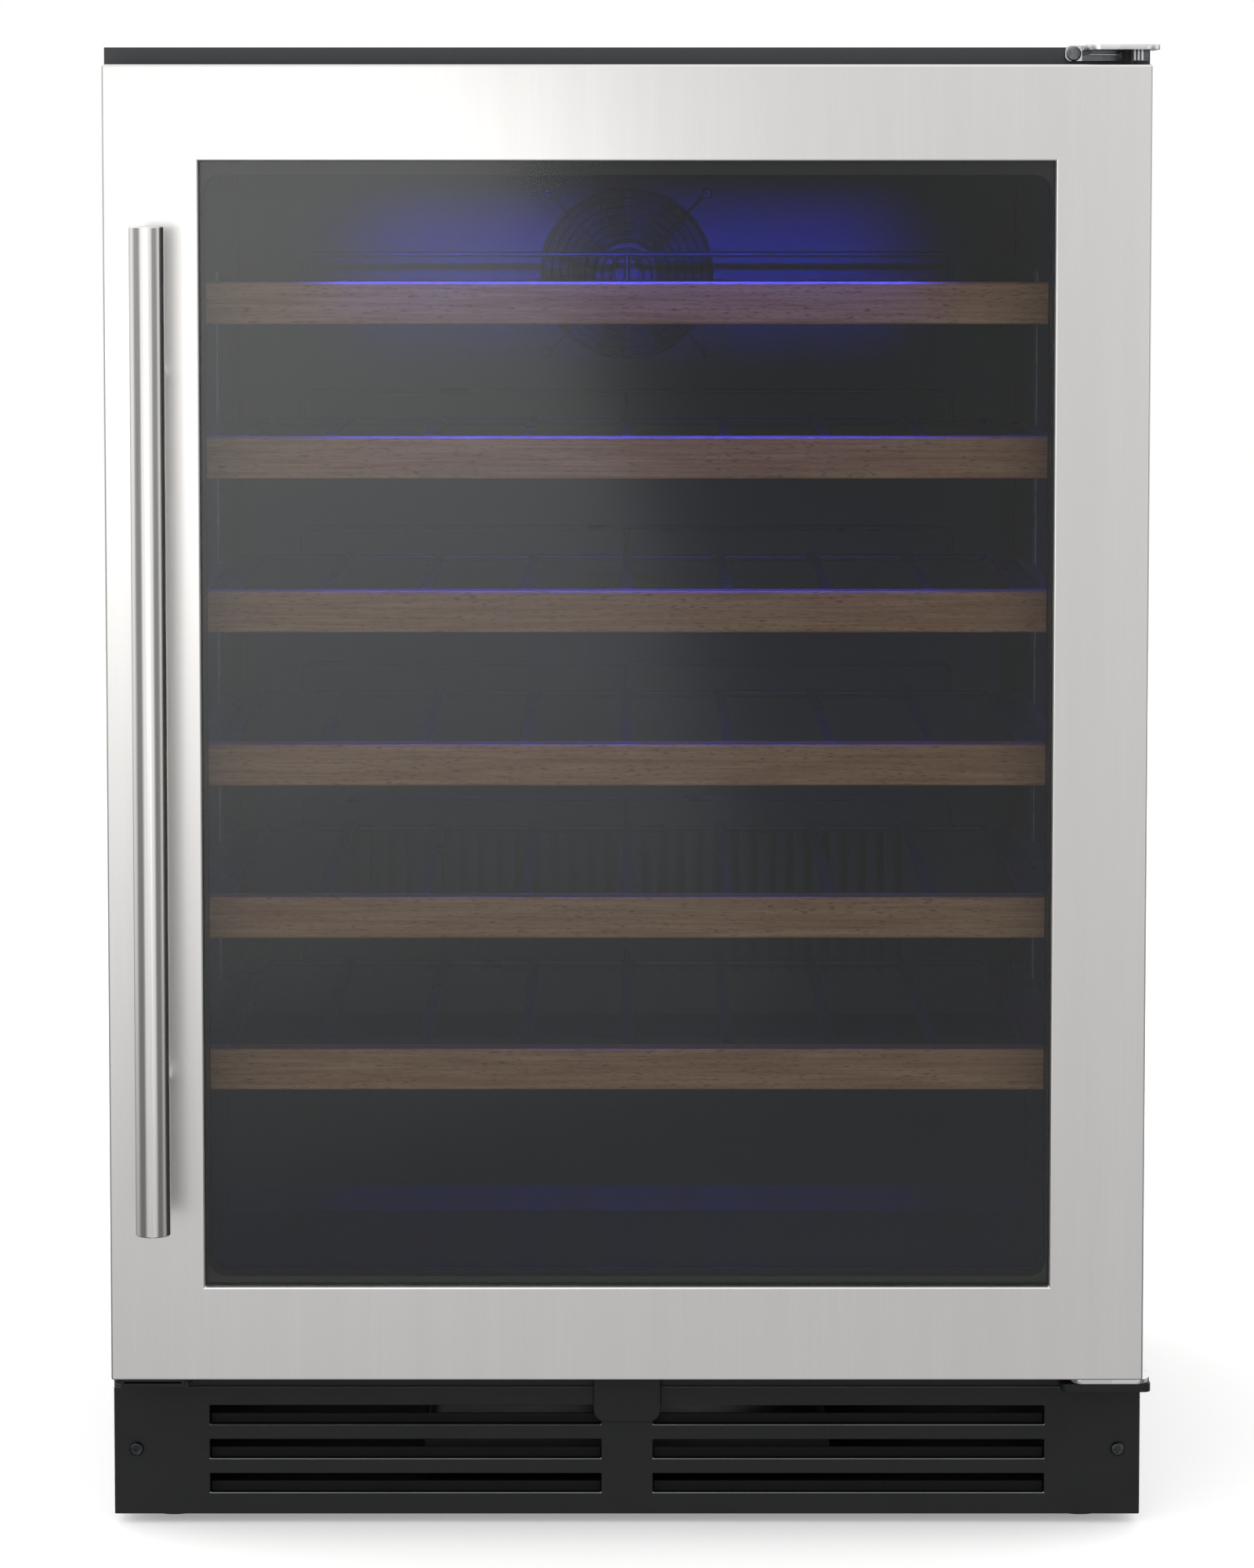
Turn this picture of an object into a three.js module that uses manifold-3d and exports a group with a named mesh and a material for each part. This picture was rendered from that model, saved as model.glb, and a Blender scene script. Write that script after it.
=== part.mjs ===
// Under-counter wine cooler: a folded steel cabinet round a foamed liner, one framed glass door
// hinged on the right, and six wire shelves with wooden fronts on side slides.
//
// Millimetres. X runs to the right, Y to the back and Z up. The pieces are made with y = 0 at the
// plane of the cabinet's front flange and z = 0 at the floor; the last lines move them so that
// the origin is under the middle of the whole cooler.

import * as THREE from "three";
import { mergeVertices } from "three/addons/utils/BufferGeometryUtils.js";
import Module from "manifold-3d";

const wasm = await Module();
wasm.setup();

// ---------------------------------------------------------------- driving dimensions

const GAP = 0.3; // left between pieces that touch
const PAST = 2; // how far a cutting tool runs past the face it opens

const CABINET = { half: 297.5, depth: 530, bottom: 10, top: 854, sheet: 1.2, flange: 30 };
const LINER = { half: 260, wall: 2, floor: 109, ceiling: 812, back: 490, lip: 1.5 };
const HUMP = { front: 365, top: 221, foot: 14 }; // the step in the liner over the machine bay
const BAY = { front: 385, top: 199, floor: 15.5 }; // the machine bay behind and under the hump
const FOAM = { front: 2, underside: 85 };
const REAR = { sheet: 1.5, split: 206 }; // the height where the rear sheet meets the louvred cover
const LOUVRE = { rows: 6, first: 80, pitch: 18, height: 7, near: 20, far: 250 }; // in that cover
const PAN = { sheet: 1.5, wall: 18, front: 4 };
const RAIL = { low: 72, leg: 18, sheet: 1.5 }; // the cross rail under the door opening

const DOOR = { half: 294.5, bottom: 95.5, top: 843.5, front: -45, back: -10, border: 54, sheet: 1.2 };
const SKIRT_GAP = 2; // how far the steel skirt stops short of the door's back
const GLASS = { thickness: 4, rebate: 12, outer: -40.7, inner: -19.5 };
const SIGHT = { half: 239.5, low: 154, high: 781.5, radius: 10 }; // the clear view through the door
const GASKET = { half: 279, low: 96.5, high: 838, width: 12 };
const HANDLE = { x: -266, y: -85, low: 188.3, high: 753.5, radius: 9.75, inset: 82, post: 6, foot: 9 };
const HANDLE_EASE = 1; // the chamfer at each end of the bar
const HANDLE_FLANGE = 3; // the thickness of a post's foot
const HINGE = { x: 282.5, y: -20, pin: 4, hole: 4.6, reach: -38, inner: 249, tip: 300, leaf: 3 };
const BRACKET = { upperLeaf: 846, lowerLeaf: 84, proud: 1, lip: 2, drop: 5 };
const PIN_END = { upper: 834, lower: 105 }; // how far down and up the hinge pins reach

const KICK = { half: 297.5, low: 6, high: 81, front: -1.8, sheet: 1.5, screwX: 284.6, screwZ: 44.6 };
const SLOT = { near: 15, far: 242, height: 11.3, first: 58.7, pitch: 20, rows: 3, return: 5.5 };
const SCREW = { head: 4, proud: 2.2, shank: 2, length: 6, root: 1 };
const TAB = { half: 19.5, low: 61, high: 94, front: -5.2, radius: 7 };

const SHELF = { count: 6, top: 720.5, pitch: 88.56, half: 242.25, front: 5, thick: 17, height: 24 };
const RACK = { half: 237, back: 380, bar: 5, straps: 7, strapPitch: 60, strapWidth: 7, drop: 7 };
const STRAP = { under: 2, over: 1, foot: 4 }; // a strap's faces and the front bar's foot
const STOP = { half: 212.5, rise: 17, wire: 4 }; // the raised wire that keeps bottles off the back
const SLIDE = { inner: 243.5, split: 251.5, front: 30, back: 376, high: 10, low: 20 };
const GUIDE = { ahead: 6, behind: 4, play: 1, web: 2 }; // the fixed half of a slide
const UPRIGHT = { places: [80, 310], half: 10, thick: 1.5, drop: 30 };

const COVER = { half: 246, front: 435, sheet: 2, low: 224, high: 800 }; // over the evaporator
const VENT = { count: 31, pitch: 12, width: 5, rows: [[252, 295], [302, 347]] };
const FAN = { z: 716, size: 119, depth: 25, bore: 57, blade: 54, hub: 20, blades: 7 };
const STRUT = { depth: 4, half: 2, motor: 18, motorDepth: 7 };
const BLADE = { thick: 1.8, chord: 18, pitch: 35, root: 4, back: -3 };
const ROTOR = { front: -10.5, clear: 8 };
const GRILLE = { rings: 4, first: 14, pitch: 13, sides: 20, wire: 1.8, screw: 52.5, ear: 5 };
const SENSOR = { half: 25, low: 490, high: 519, depth: 6, wall: 1.5 };
const SENSOR_SLOT = { count: 6, pitch: 7, half: 1.5, margin: 7 };
const PANEL = { half: 257, front: 12, back: 112, low: 783, wall: 2, middle: 797 };
const LED = { half: 180, front: 70, back: 88, thick: 1.8 };
const BUTTON = { half: 5, tall: 3, proud: 2, depth: 7, clear: 0.4 };
const DISPLAY = { half: 30, tall: 8, thick: 1.5 };
const FOOT = { x: 265, front: 35, back: 495, pad: 17, height: 8, stem: 4, top: 34, hole: 5 };
const COMPRESSOR = { x: 130, y: 455, radius: 58, top: 172, plate: 3, halfPlate: 62, trim: 8 };
const CAN = { foot: 18, tuck: 4, waist: 10, rise: 18, shoulder: 30, crown: 10 };
const CONDENSER = { x: -155, half: 95, y: 455, depth: 104, height: 130, fins: 8 };
const EVAPORATOR = { half: 200, y: 465, depth: 40, low: 370, height: 240, fins: 8 };
const COIL = { fin: 1.2, tube: 7, tubes: 2 };
const CONDENSER_FAN_X = -18;
const TRAY = { half: 120, front: 60, back: 300, height: 18, wall: 1.5 };
const INLET = { x: 225, z: 50, half: 24, tall: 12, depth: 24, wall: 4.5, recess: 18, pin: 1 };
const INLET_PIN = { places: [-9, 0, 9], short: 5, tall: 3 };
const OVERLAP = 1; // how far solids that are joined run into each other
const NEAR = 0.01; // two heights closer than this are the same

// ---------------------------------------------------------------- finishes

const finish = (color, roughness, metalness) =>
  new THREE.MeshStandardMaterial({ color, roughness, metalness });

const charcoalPaint = finish("#3d3f41", 0.55, 0.2);
const blackPaint = finish("#2d2e2f", 0.6, 0.2);
const brushedSteel = finish("#d8d6d3", 0.34, 1);
const polishedSteel = finish("#d5d5d5", 0.16, 1);
const zincPlate = finish("#bfc1c2", 0.38, 1);
const blackWire = finish("#24252a", 0.4, 0.5);
const linerPlastic = finish("#2b2d2f", 0.5, 0);
const blackPlastic = finish("#1d1e20", 0.5, 0);
const clearPlastic = finish("#5a6cff", 0.25, 0);
const beech = finish("#d9a678", 0.55, 0);
const tintedGlass = finish("#2a2d2f", 0.05, 0);
const softRubber = finish("#1b1b1c", 0.85, 0);
const paleFoam = finish("#d8cfae", 0.95, 0);
const aluminium = finish("#b9bcbe", 0.45, 1);
const galvanised = finish("#9a9d9f", 0.5, 1);

// ---------------------------------------------------------------- solids

/** A geometry as a solid that can be joined and cut. */
function solid(geometry) {
  const bare = geometry.clone();
  bare.deleteAttribute("normal");
  bare.deleteAttribute("uv");
  const merged = mergeVertices(bare, 1e-4);
  const mesh = new wasm.Mesh({
    numProp: 3,
    vertProperties: Float32Array.from(merged.attributes.position.array),
    triVerts: Uint32Array.from(merged.index.array),
  });
  return new wasm.Manifold(mesh);
}

/** A joined or cut solid as a geometry. */
function geometryOf(body) {
  const mesh = body.getMesh();
  const geometry = new THREE.BufferGeometry();
  geometry.setAttribute("position", new THREE.BufferAttribute(mesh.vertProperties, 3));
  geometry.setIndex(new THREE.BufferAttribute(mesh.triVerts, 1));
  geometry.computeVertexNormals();
  return geometry;
}

const join = (...pieces) => geometryOf(pieces.map(solid).reduce((sum, next) => sum.add(next)));

/** The first geometry with every tool taken away from it. */
function cut(piece, ...tools) {
  const waste = tools.map(solid).reduce((sum, next) => sum.add(next));
  return geometryOf(solid(piece).subtract(waste));
}

/** A box between two corners. */
function box([x0, x1], [y0, y1], [z0, z1]) {
  const geometry = new THREE.BoxGeometry(x1 - x0, y1 - y0, z1 - z0);
  return geometry.translate((x0 + x1) / 2, (y0 + y1) / 2, (z0 + z1) / 2);
}

const across = (half) => [-half, half];
const around = (middle, half) => [middle - half, middle + half];

/** A closed outline in X and Z: a rectangle about x = 0, with round corners if it has a radius. */
function rectangle(half, low, high, radius = 0, steps = 4) {
  const corners = [[1, 1], [-1, 1], [-1, -1], [1, -1]];
  if (radius === 0) {
    return corners.map(([sx, sz]) => new THREE.Vector2(sx * half, sz > 0 ? high : low));
  }
  return corners.flatMap(([sx, sz], quarter) =>
    Array.from({ length: steps + 1 }, (_, step) => {
      const angle = ((quarter + step / steps) * Math.PI) / 2;
      const x = sx * (half - radius) + radius * Math.cos(angle);
      const z = (sz > 0 ? high - radius : low + radius) + radius * Math.sin(angle);
      return new THREE.Vector2(x, z);
    }),
  );
}

/** An outline in X and Z, less its holes, made solid from y0 back to y1. */
function prismY(outline, [y0, y1], holes = []) {
  const shape = new THREE.Shape(outline);
  shape.holes = holes.map((hole) => new THREE.Path(hole));
  const geometry = new THREE.ExtrudeGeometry(shape, { depth: y1 - y0, bevelEnabled: false });
  return geometry.rotateX(Math.PI / 2).translate(0, y1, 0);
}

/** An outline in Y and Z made solid across the cabinet's middle. */
function prismX(outline, half) {
  const shape = new THREE.Shape(outline);
  const geometry = new THREE.ExtrudeGeometry(shape, { depth: 2 * half, bevelEnabled: false });
  const turn = new THREE.Matrix4().makeBasis(
    new THREE.Vector3(0, 1, 0),
    new THREE.Vector3(0, 0, 1),
    new THREE.Vector3(1, 0, 0),
  );
  return geometry.applyMatrix4(turn).translate(-half, 0, 0);
}

/** An upright rod. */
function rodZ(radius, [x, y], [z0, z1], sides = 12) {
  const geometry = new THREE.CylinderGeometry(radius, radius, z1 - z0, sides);
  return geometry.rotateX(Math.PI / 2).translate(x, y, (z0 + z1) / 2);
}

/** A rod that runs from front to back. */
function rodY(radius, [x, z], [y0, y1], sides = 12) {
  const geometry = new THREE.CylinderGeometry(radius, radius, y1 - y0, sides);
  return geometry.translate(x, (y0 + y1) / 2, z);
}

// ---------------------------------------------------------------- cabinet

/** The side, top and bottom edges of the cavity in Y and Z, grown by an offset on every wall. */
function cavity(offset, front) {
  const ease = offset * (Math.SQRT2 - 1);
  const points = [
    [front, LINER.floor - offset],
    [HUMP.front - HUMP.foot + ease, LINER.floor - offset],
    [HUMP.front + offset, LINER.floor + HUMP.foot - ease],
    [HUMP.front + offset, HUMP.top - offset],
    [LINER.back + offset, HUMP.top - offset],
    [LINER.back + offset, LINER.ceiling + offset],
    [front, LINER.ceiling + offset],
  ];
  return points.map(([y, z]) => new THREE.Vector2(y, z));
}

/** The wrap of the sides and top, with its flange folded in round the door opening. */
function cabinetShell() {
  const { half, depth, bottom, top, sheet, flange } = CABINET;
  const wrap = [
    [-half, bottom], [-half + sheet, bottom], [-half + sheet, top - sheet],
    [half - sheet, top - sheet], [half - sheet, bottom], [half, bottom], [half, top], [-half, top],
  ].map(([x, z]) => new THREE.Vector2(x, z));
  const body = join(
    prismY(wrap, [0, depth]),
    box([-half, -half + flange], [0, sheet], [bottom, top]),
    box([half - flange, half], [0, sheet], [bottom, top]),
    box(across(half), [0, sheet], [top - flange, top]),
  );
  const screwHoles = [-1, 1].map((side) =>
    rodY(HINGE.hole / 2, [side * KICK.screwX, KICK.screwZ], [-PAST, sheet + PAST], 8),
  );
  return cut(body, ...screwHoles);
}

/** The moulded cavity, open at the front, with a flat lip round its mouth. */
function innerLiner() {
  const lipHalf = CABINET.half - CABINET.flange - GAP;
  const lipTop = CABINET.top - CABINET.flange - GAP;
  const shell = cut(
    prismX(cavity(LINER.wall, 0), LINER.half + LINER.wall),
    prismX(cavity(0, -PAST), LINER.half),
  );
  const mouth = rectangle(LINER.half, LINER.floor, LINER.ceiling);
  const lip = prismY(rectangle(lipHalf, DOOR.bottom, lipTop), [0, LINER.lip], [mouth]);
  return join(shell, lip);
}

/** The foam between the liner and the steel, stepped up over the machine bay. */
function insulationFoam() {
  const back = CABINET.depth - REAR.sheet - GAP;
  const high = CABINET.top - CABINET.sheet - GAP;
  const outline = [
    [FOAM.front, FOAM.underside], [BAY.front, FOAM.underside], [BAY.front, BAY.top],
    [back, BAY.top], [back, high], [FOAM.front, high],
  ].map(([y, z]) => new THREE.Vector2(y, z));
  const grown = LINER.wall + GAP;
  return cut(
    prismX(outline, CABINET.half - CABINET.sheet - GAP),
    prismX(cavity(grown, 0), LINER.half + grown),
  );
}

/** The angle under the door opening that the brackets and the kick plate hang from. */
function crossRail() {
  const half = CABINET.half - CABINET.flange - GAP;
  const high = DOOR.bottom - GAP;
  const legTop = FOAM.underside - GAP;
  return join(
    box(across(half), [0, RAIL.sheet], [RAIL.low, high]),
    box(across(half), [0, RAIL.leg], [legTop - RAIL.sheet, legTop]),
  );
}

const rearSpan = [CABINET.depth - REAR.sheet, CABINET.depth];
const insideHalf = CABINET.half - CABINET.sheet - GAP;

const rearSheet = () =>
  box(across(insideHalf), rearSpan, [REAR.split, CABINET.top - CABINET.sheet - GAP]);

/** The removable cover of the machine bay, with louvre slots and a window for the inlet. */
function machineCover() {
  const plate = box(across(insideHalf), rearSpan, [BAY.floor + GAP, REAR.split - GAP]);
  const through = [rearSpan[0] - PAST, rearSpan[1] + PAST];
  const slots = [];
  for (let row = 0; row < LOUVRE.rows; row += 1) {
    const low = LOUVRE.first + LOUVRE.pitch * row;
    const height = [low, low + LOUVRE.height];
    slots.push(box([-LOUVRE.far, -LOUVRE.near], through, height));
    slots.push(box([LOUVRE.near, LOUVRE.far], through, height));
  }
  const window = box(
    around(INLET.x, INLET.half + GAP), through, around(INLET.z, INLET.tall + GAP),
  );
  return cut(plate, window, ...slots);
}

/** The floor of the machine bay: a pan with low side walls and a hole for each foot. */
function basePan() {
  const { sheet } = PAN;
  const wallTop = BAY.floor + PAN.wall;
  const [y0, y1] = [PAN.front, rearSpan[0] - GAP];
  const pan = join(
    box(across(insideHalf), [y0, y1], [BAY.floor - sheet, BAY.floor]),
    box([-insideHalf, -insideHalf + sheet], [y0, y1], [BAY.floor - sheet, wallTop]),
    box([insideHalf - sheet, insideHalf], [y0, y1], [BAY.floor - sheet, wallTop]),
  );
  const holes = footPlaces().map(({ at }) =>
    rodZ(FOOT.hole, at, [BAY.floor - sheet - PAST, BAY.floor + PAST]),
  );
  return cut(pan, ...holes);
}

/** Each levelling foot's name and place. */
function footPlaces() {
  return [
    { name: "foot_front_left", at: [-FOOT.x, FOOT.front] },
    { name: "foot_front_right", at: [FOOT.x, FOOT.front] },
    { name: "foot_rear_left", at: [-FOOT.x, FOOT.back] },
    { name: "foot_rear_right", at: [FOOT.x, FOOT.back] },
  ];
}

/** A screw foot: a wide pad under a stem that climbs through the pan. */
function levellingFoot() {
  return join(
    rodZ(FOOT.pad, [0, 0], [0, FOOT.height], 20),
    rodZ(FOOT.stem, [0, 0], [FOOT.height - OVERLAP, FOOT.top], 12),
  );
}

// ---------------------------------------------------------------- kick plate and brackets

/** The perforated plate under the door, with a folded return behind the low edge of each slot. */
function kickPlate() {
  const back = KICK.front + KICK.sheet;
  const plate = box(across(KICK.half), [KICK.front, back], [KICK.low, KICK.high]);
  const slots = [];
  const returns = [];
  for (let row = 0; row < SLOT.rows; row += 1) {
    const low = SLOT.first - row * SLOT.pitch;
    for (const side of [-1, 1]) {
      const span = [side * SLOT.near, side * SLOT.far].sort((a, b) => a - b);
      const leg = [KICK.front, back + SLOT.return];
      const wall = [leg[1] - KICK.sheet, leg[1]];
      slots.push(box(span, [KICK.front - PAST, back + PAST], [low, low + SLOT.height]));
      returns.push(box(span, leg, [low - KICK.sheet, low]));
      returns.push(box(span, wall, [low - KICK.sheet, low + SLOT.height / 2]));
    }
  }
  const screwHoles = [-1, 1].map((side) =>
    rodY(HINGE.hole / 2, [side * KICK.screwX, KICK.screwZ], [KICK.front - PAST, back + PAST], 8),
  );
  return join(cut(plate, ...slots, ...screwHoles), ...returns);
}

/** The small tongue that comes down over the middle of the kick plate. */
function kickTab() {
  const { half, low, high, radius, front } = TAB;
  const square = [[half, high], [-half, high]].map(([x, z]) => new THREE.Vector2(x, z));
  const round = rectangle(half, low, high, radius).filter((point) => point.y < low + radius + NEAR);
  return prismY([...square, ...round], [front, KICK.front - GAP]);
}

/** A round-headed screw that faces forward, made about its own middle. */
function frontScrew() {
  return join(
    rodY(SCREW.head, [0, 0], [-SCREW.proud, 0], 16),
    rodY(SCREW.shank, [0, 0], [-SCREW.root, SCREW.length], 8),
  );
}

/** A leaf on the cabinet front with a tongue over or under the door, and its pin. */
function hingeBracket([leafLow, leafHigh], [tongueLow, tongueHigh], [pinLow, pinHigh]) {
  const nose = (HINGE.tip - HINGE.inner) / 2;
  const lip = [HINGE.reach, HINGE.reach + BRACKET.lip];
  const tongue = box([HINGE.inner, HINGE.tip], [HINGE.reach, -GAP], [tongueLow, tongueHigh]);
  return join(
    box([HINGE.inner, HINGE.tip], [KICK.front, -GAP], [leafLow, leafHigh]),
    tongue,
    box([HINGE.inner + nose, HINGE.tip], lip, [leafLow, leafHigh]),
    rodZ(HINGE.pin, [HINGE.x, HINGE.y], [pinLow, pinHigh]),
  );
}

/** The bracket on the cabinet's top edge, whose pin points down. */
function upperHinge() {
  const top = CABINET.top + BRACKET.proud;
  const pin = [PIN_END.upper, CABINET.top];
  return hingeBracket([BRACKET.upperLeaf, top], [top - HINGE.leaf, top], pin);
}

/** The bracket under the door, whose pin points up. */
function lowerHinge() {
  const top = DOOR.bottom - BRACKET.proud;
  const pin = [top - PAST, PIN_END.lower];
  return hingeBracket([BRACKET.lowerLeaf, top], [top - HINGE.leaf, top], pin);
}

/** The plain bracket on the other side, where the door could be hung instead. */
function spareBracket() {
  const high = DOOR.bottom - BRACKET.proud;
  const width = [-HINGE.tip, -HINGE.inner];
  return join(
    box(width, [KICK.front, -GAP], [BRACKET.lowerLeaf, high]),
    box(width, [HINGE.reach, -GAP], [high - HINGE.leaf, high]),
    box(width, [HINGE.reach, HINGE.reach + BRACKET.lip], [high - BRACKET.drop, high]),
  );
}

// ---------------------------------------------------------------- door

const doorOpening = {
  half: DOOR.half - DOOR.border,
  low: DOOR.bottom + DOOR.border,
  high: DOOR.top - DOOR.border,
};

/** A rectangular ring in X and Z, from y0 back to y1. */
function ring(outer, inner, span) {
  return prismY(
    rectangle(outer.half, outer.low, outer.high), span, [rectangle(inner.half, inner.low, inner.high)],
  );
}

/** A rectangle of the same middle, larger by an amount on every side. */
const grow = ({ half, low, high }, by) => ({ half: half + by, low: low - by, high: high + by });

const doorEdge = { half: DOOR.half, low: DOOR.bottom, high: DOOR.top };
const glassEdge = grow(doorOpening, GLASS.rebate);

/** Clear holes in the door for both hinge pins. */
const pinHoles = () => [
  rodZ(HINGE.hole, [HINGE.x, HINGE.y], [DOOR.bottom - PAST, PIN_END.lower + PAST]),
  rodZ(HINGE.hole, [HINGE.x, HINGE.y], [PIN_END.upper - PAST, DOOR.top + PAST]),
];

/** The folded stainless face: a flat front, a skirt round the outside and a lip at the glass. */
function doorFrame() {
  const { front, sheet } = DOOR;
  const skin = join(
    ring(doorEdge, doorOpening, [front, front + sheet]),
    ring(doorEdge, grow(doorEdge, -sheet), [front, DOOR.back - SKIRT_GAP]),
    ring(grow(doorOpening, sheet), doorOpening, [front, GLASS.outer - GAP]),
  );
  return cut(skin, ...pinHoles());
}

/** The moulded frame inside the steel, rebated on both faces for the panes. */
function doorCore() {
  const edge = grow(doorEdge, -DOOR.sheet - GAP);
  const pocket = grow(glassEdge, GAP);
  const frontPocket = [DOOR.front, GLASS.outer + GLASS.thickness + GAP];
  const sight = rectangle(SIGHT.half, SIGHT.low, SIGHT.high, SIGHT.radius);
  const outer = rectangle(edge.half, edge.low, edge.high);
  const body = prismY(outer, [DOOR.front + DOOR.sheet + GAP, DOOR.back], [sight]);
  return cut(
    body,
    box(across(pocket.half), frontPocket, [pocket.low, pocket.high]),
    box(across(pocket.half), [GLASS.inner - GAP, DOOR.back + PAST], [pocket.low, pocket.high]),
    ...pinHoles(),
  );
}

const pane = (front) =>
  box(across(glassEdge.half), [front, front + GLASS.thickness], [glassEdge.low, glassEdge.high]);

/** The bead that clips the inner pane in from the back. */
function glazingBead() {
  const edge = rectangle(glassEdge.half, glassEdge.low, glassEdge.high);
  const sight = rectangle(SIGHT.half, SIGHT.low, SIGHT.high, SIGHT.radius);
  return prismY(edge, [GLASS.inner + GLASS.thickness + GAP, DOOR.back], [sight]);
}

/** The magnetic seal between the door and the cabinet's flange. */
const doorGasket = () => ring(GASKET, grow(GASKET, -GASKET.width), [DOOR.back + GAP, -GAP]);

/** The straight bar, with a small chamfer at each end. */
function handleBar() {
  const { radius, low, high } = HANDLE;
  const profile = [
    [0, low], [radius - HANDLE_EASE, low], [radius, low + HANDLE_EASE],
    [radius, high - HANDLE_EASE], [radius - HANDLE_EASE, high], [0, high],
  ].map(([r, z]) => new THREE.Vector2(r, z));
  const bar = new THREE.LatheGeometry(profile, 24).rotateX(Math.PI / 2);
  return bar.translate(HANDLE.x, HANDLE.y, 0);
}

/** A post from the door's face to the back of the bar, with a foot against the steel. */
function handlePost() {
  const face = DOOR.front - GAP;
  return join(
    rodY(HANDLE.post, [0, 0], [HANDLE.y + HANDLE.radius + GAP, face], 16),
    rodY(HANDLE.foot, [0, 0], [face - HANDLE_FLANGE, face], 16),
  );
}

// ---------------------------------------------------------------- shelves

const shelfTop = (level) => SHELF.top - level * SHELF.pitch;

/** The wooden front of a shelf. */
function shelfFascia(top) {
  return box(across(SHELF.half), [SHELF.front, SHELF.front + SHELF.thick], [top - SHELF.height, top]);
}

/** The wire rack behind a fascia, with a raised stop at the back and a runner on each side. */
function shelfRack(top) {
  const { half, back, bar, drop } = RACK;
  const front = SHELF.front + SHELF.thick + GAP;
  const barSpan = [top - drop - bar, top - drop];
  const strapSpan = [top - drop - STRAP.under, top - drop + STRAP.over];
  const stopY = [back - bar, back - bar + STOP.wire];
  const stopTop = top - drop + STOP.rise;
  const runner = [top - SLIDE.low, top - SLIDE.high];
  const pieces = [
    box(across(half), [front, front + bar], [top - SHELF.height + STRAP.foot, top - drop]),
    box(across(half), [back - bar, back], barSpan),
    box(across(STOP.half), stopY, [stopTop - STOP.wire, stopTop]),
  ];
  for (const x of [-STOP.half + STOP.wire / 2, 0, STOP.half - STOP.wire / 2]) {
    pieces.push(box(around(x, STOP.wire / 2), stopY, [top - drop - OVERLAP, stopTop]));
  }
  for (const side of [-1, 1]) {
    const sorted = (a, b) => (side < 0 ? [-b, -a] : [a, b]);
    pieces.push(box(sorted(half - bar, half), [front, back], barSpan));
    const run = [SLIDE.front, SLIDE.back];
    const web = sorted(half - OVERLAP, SLIDE.inner + OVERLAP);
    pieces.push(box(web, run, [runner[1] - GUIDE.web, runner[1]]));
    pieces.push(box(sorted(SLIDE.inner, SLIDE.split - GAP), run, runner));
  }
  for (let strap = 0; strap < RACK.straps; strap += 1) {
    const x = (strap - (RACK.straps - 1) / 2) * RACK.strapPitch;
    pieces.push(box(around(x, RACK.strapWidth / 2), [front + OVERLAP, back - OVERLAP], strapSpan));
  }
  return join(...pieces);
}

/** The fixed halves of one side's slides, tied together by two uprights on the liner wall. */
function slideRails(side) {
  const sorted = (a, b) => (side < 0 ? [-b, -a] : [a, b]);
  const wall = LINER.half - GAP;
  const pieces = [];
  for (let level = 0; level < SHELF.count; level += 1) {
    const top = shelfTop(level);
    const height = [top - SLIDE.low - GUIDE.play, top - SLIDE.high + GUIDE.play];
    const length = [SLIDE.front - GUIDE.ahead, SLIDE.back + GUIDE.behind];
    pieces.push(box(sorted(SLIDE.split, wall), length, height));
  }
  const uprightSpan = [shelfTop(SHELF.count - 1) - UPRIGHT.drop, SHELF.top];
  for (const y of UPRIGHT.places) {
    pieces.push(box(sorted(wall - UPRIGHT.thick, wall), around(y, UPRIGHT.half), uprightSpan));
  }
  return join(...pieces);
}

// ---------------------------------------------------------------- air side

/** The folded cover in front of the evaporator, with the fan's hole and two rows of vents. */
function evaporatorCover() {
  const { half, front, sheet, low, high } = COVER;
  const back = LINER.back - GAP;
  const body = join(
    box(across(half), [front, front + sheet], [low, high]),
    box([-half, -half + sheet], [front, back], [low, high]),
    box([half - sheet, half], [front, back], [low, high]),
  );
  const through = [front - PAST, front + sheet + PAST];
  const tools = [rodY(FAN.bore, [0, FAN.z], through, 32)];
  for (const row of VENT.rows) {
    for (let slot = 0; slot < VENT.count; slot += 1) {
      const x = (slot - (VENT.count - 1) / 2) * VENT.pitch;
      tools.push(box(around(x, VENT.width / 2), through, row));
    }
  }
  return cut(body, ...tools);
}

/** A square fan frame about its own middle, its axis along Y, with a motor on four struts. */
function fanFrame() {
  const half = FAN.size / 2;
  const span = [-FAN.depth / 2, FAN.depth / 2];
  const strutSpan = [span[1] - STRUT.depth, span[1]];
  const body = cut(
    box(across(half), span, across(half)),
    rodY(FAN.bore, [0, 0], [span[0] - PAST, span[1] + PAST], 28),
  );
  return join(
    body,
    box(across(half - OVERLAP), strutSpan, across(STRUT.half)),
    box(across(STRUT.half), strutSpan, across(half - OVERLAP)),
    rodY(STRUT.motor, [0, 0], [span[1] - STRUT.motorDepth, span[1]], 16),
  );
}

/** The hub and pitched blades that turn inside a fan frame. */
function fanRotor() {
  const blades = Array.from({ length: FAN.blades }, (_, index) => {
    const length = FAN.blade - FAN.hub + BLADE.root;
    const blade = new THREE.BoxGeometry(length, BLADE.thick, BLADE.chord);
    blade.rotateX(THREE.MathUtils.degToRad(BLADE.pitch));
    blade.translate(FAN.blade - length / 2, BLADE.back, 0);
    return blade.rotateY((index * 2 * Math.PI) / FAN.blades);
  });
  return join(rodY(FAN.hub, [0, 0], [ROTOR.front, FAN.depth / 2 - ROTOR.clear], 20), ...blades);
}

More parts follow.
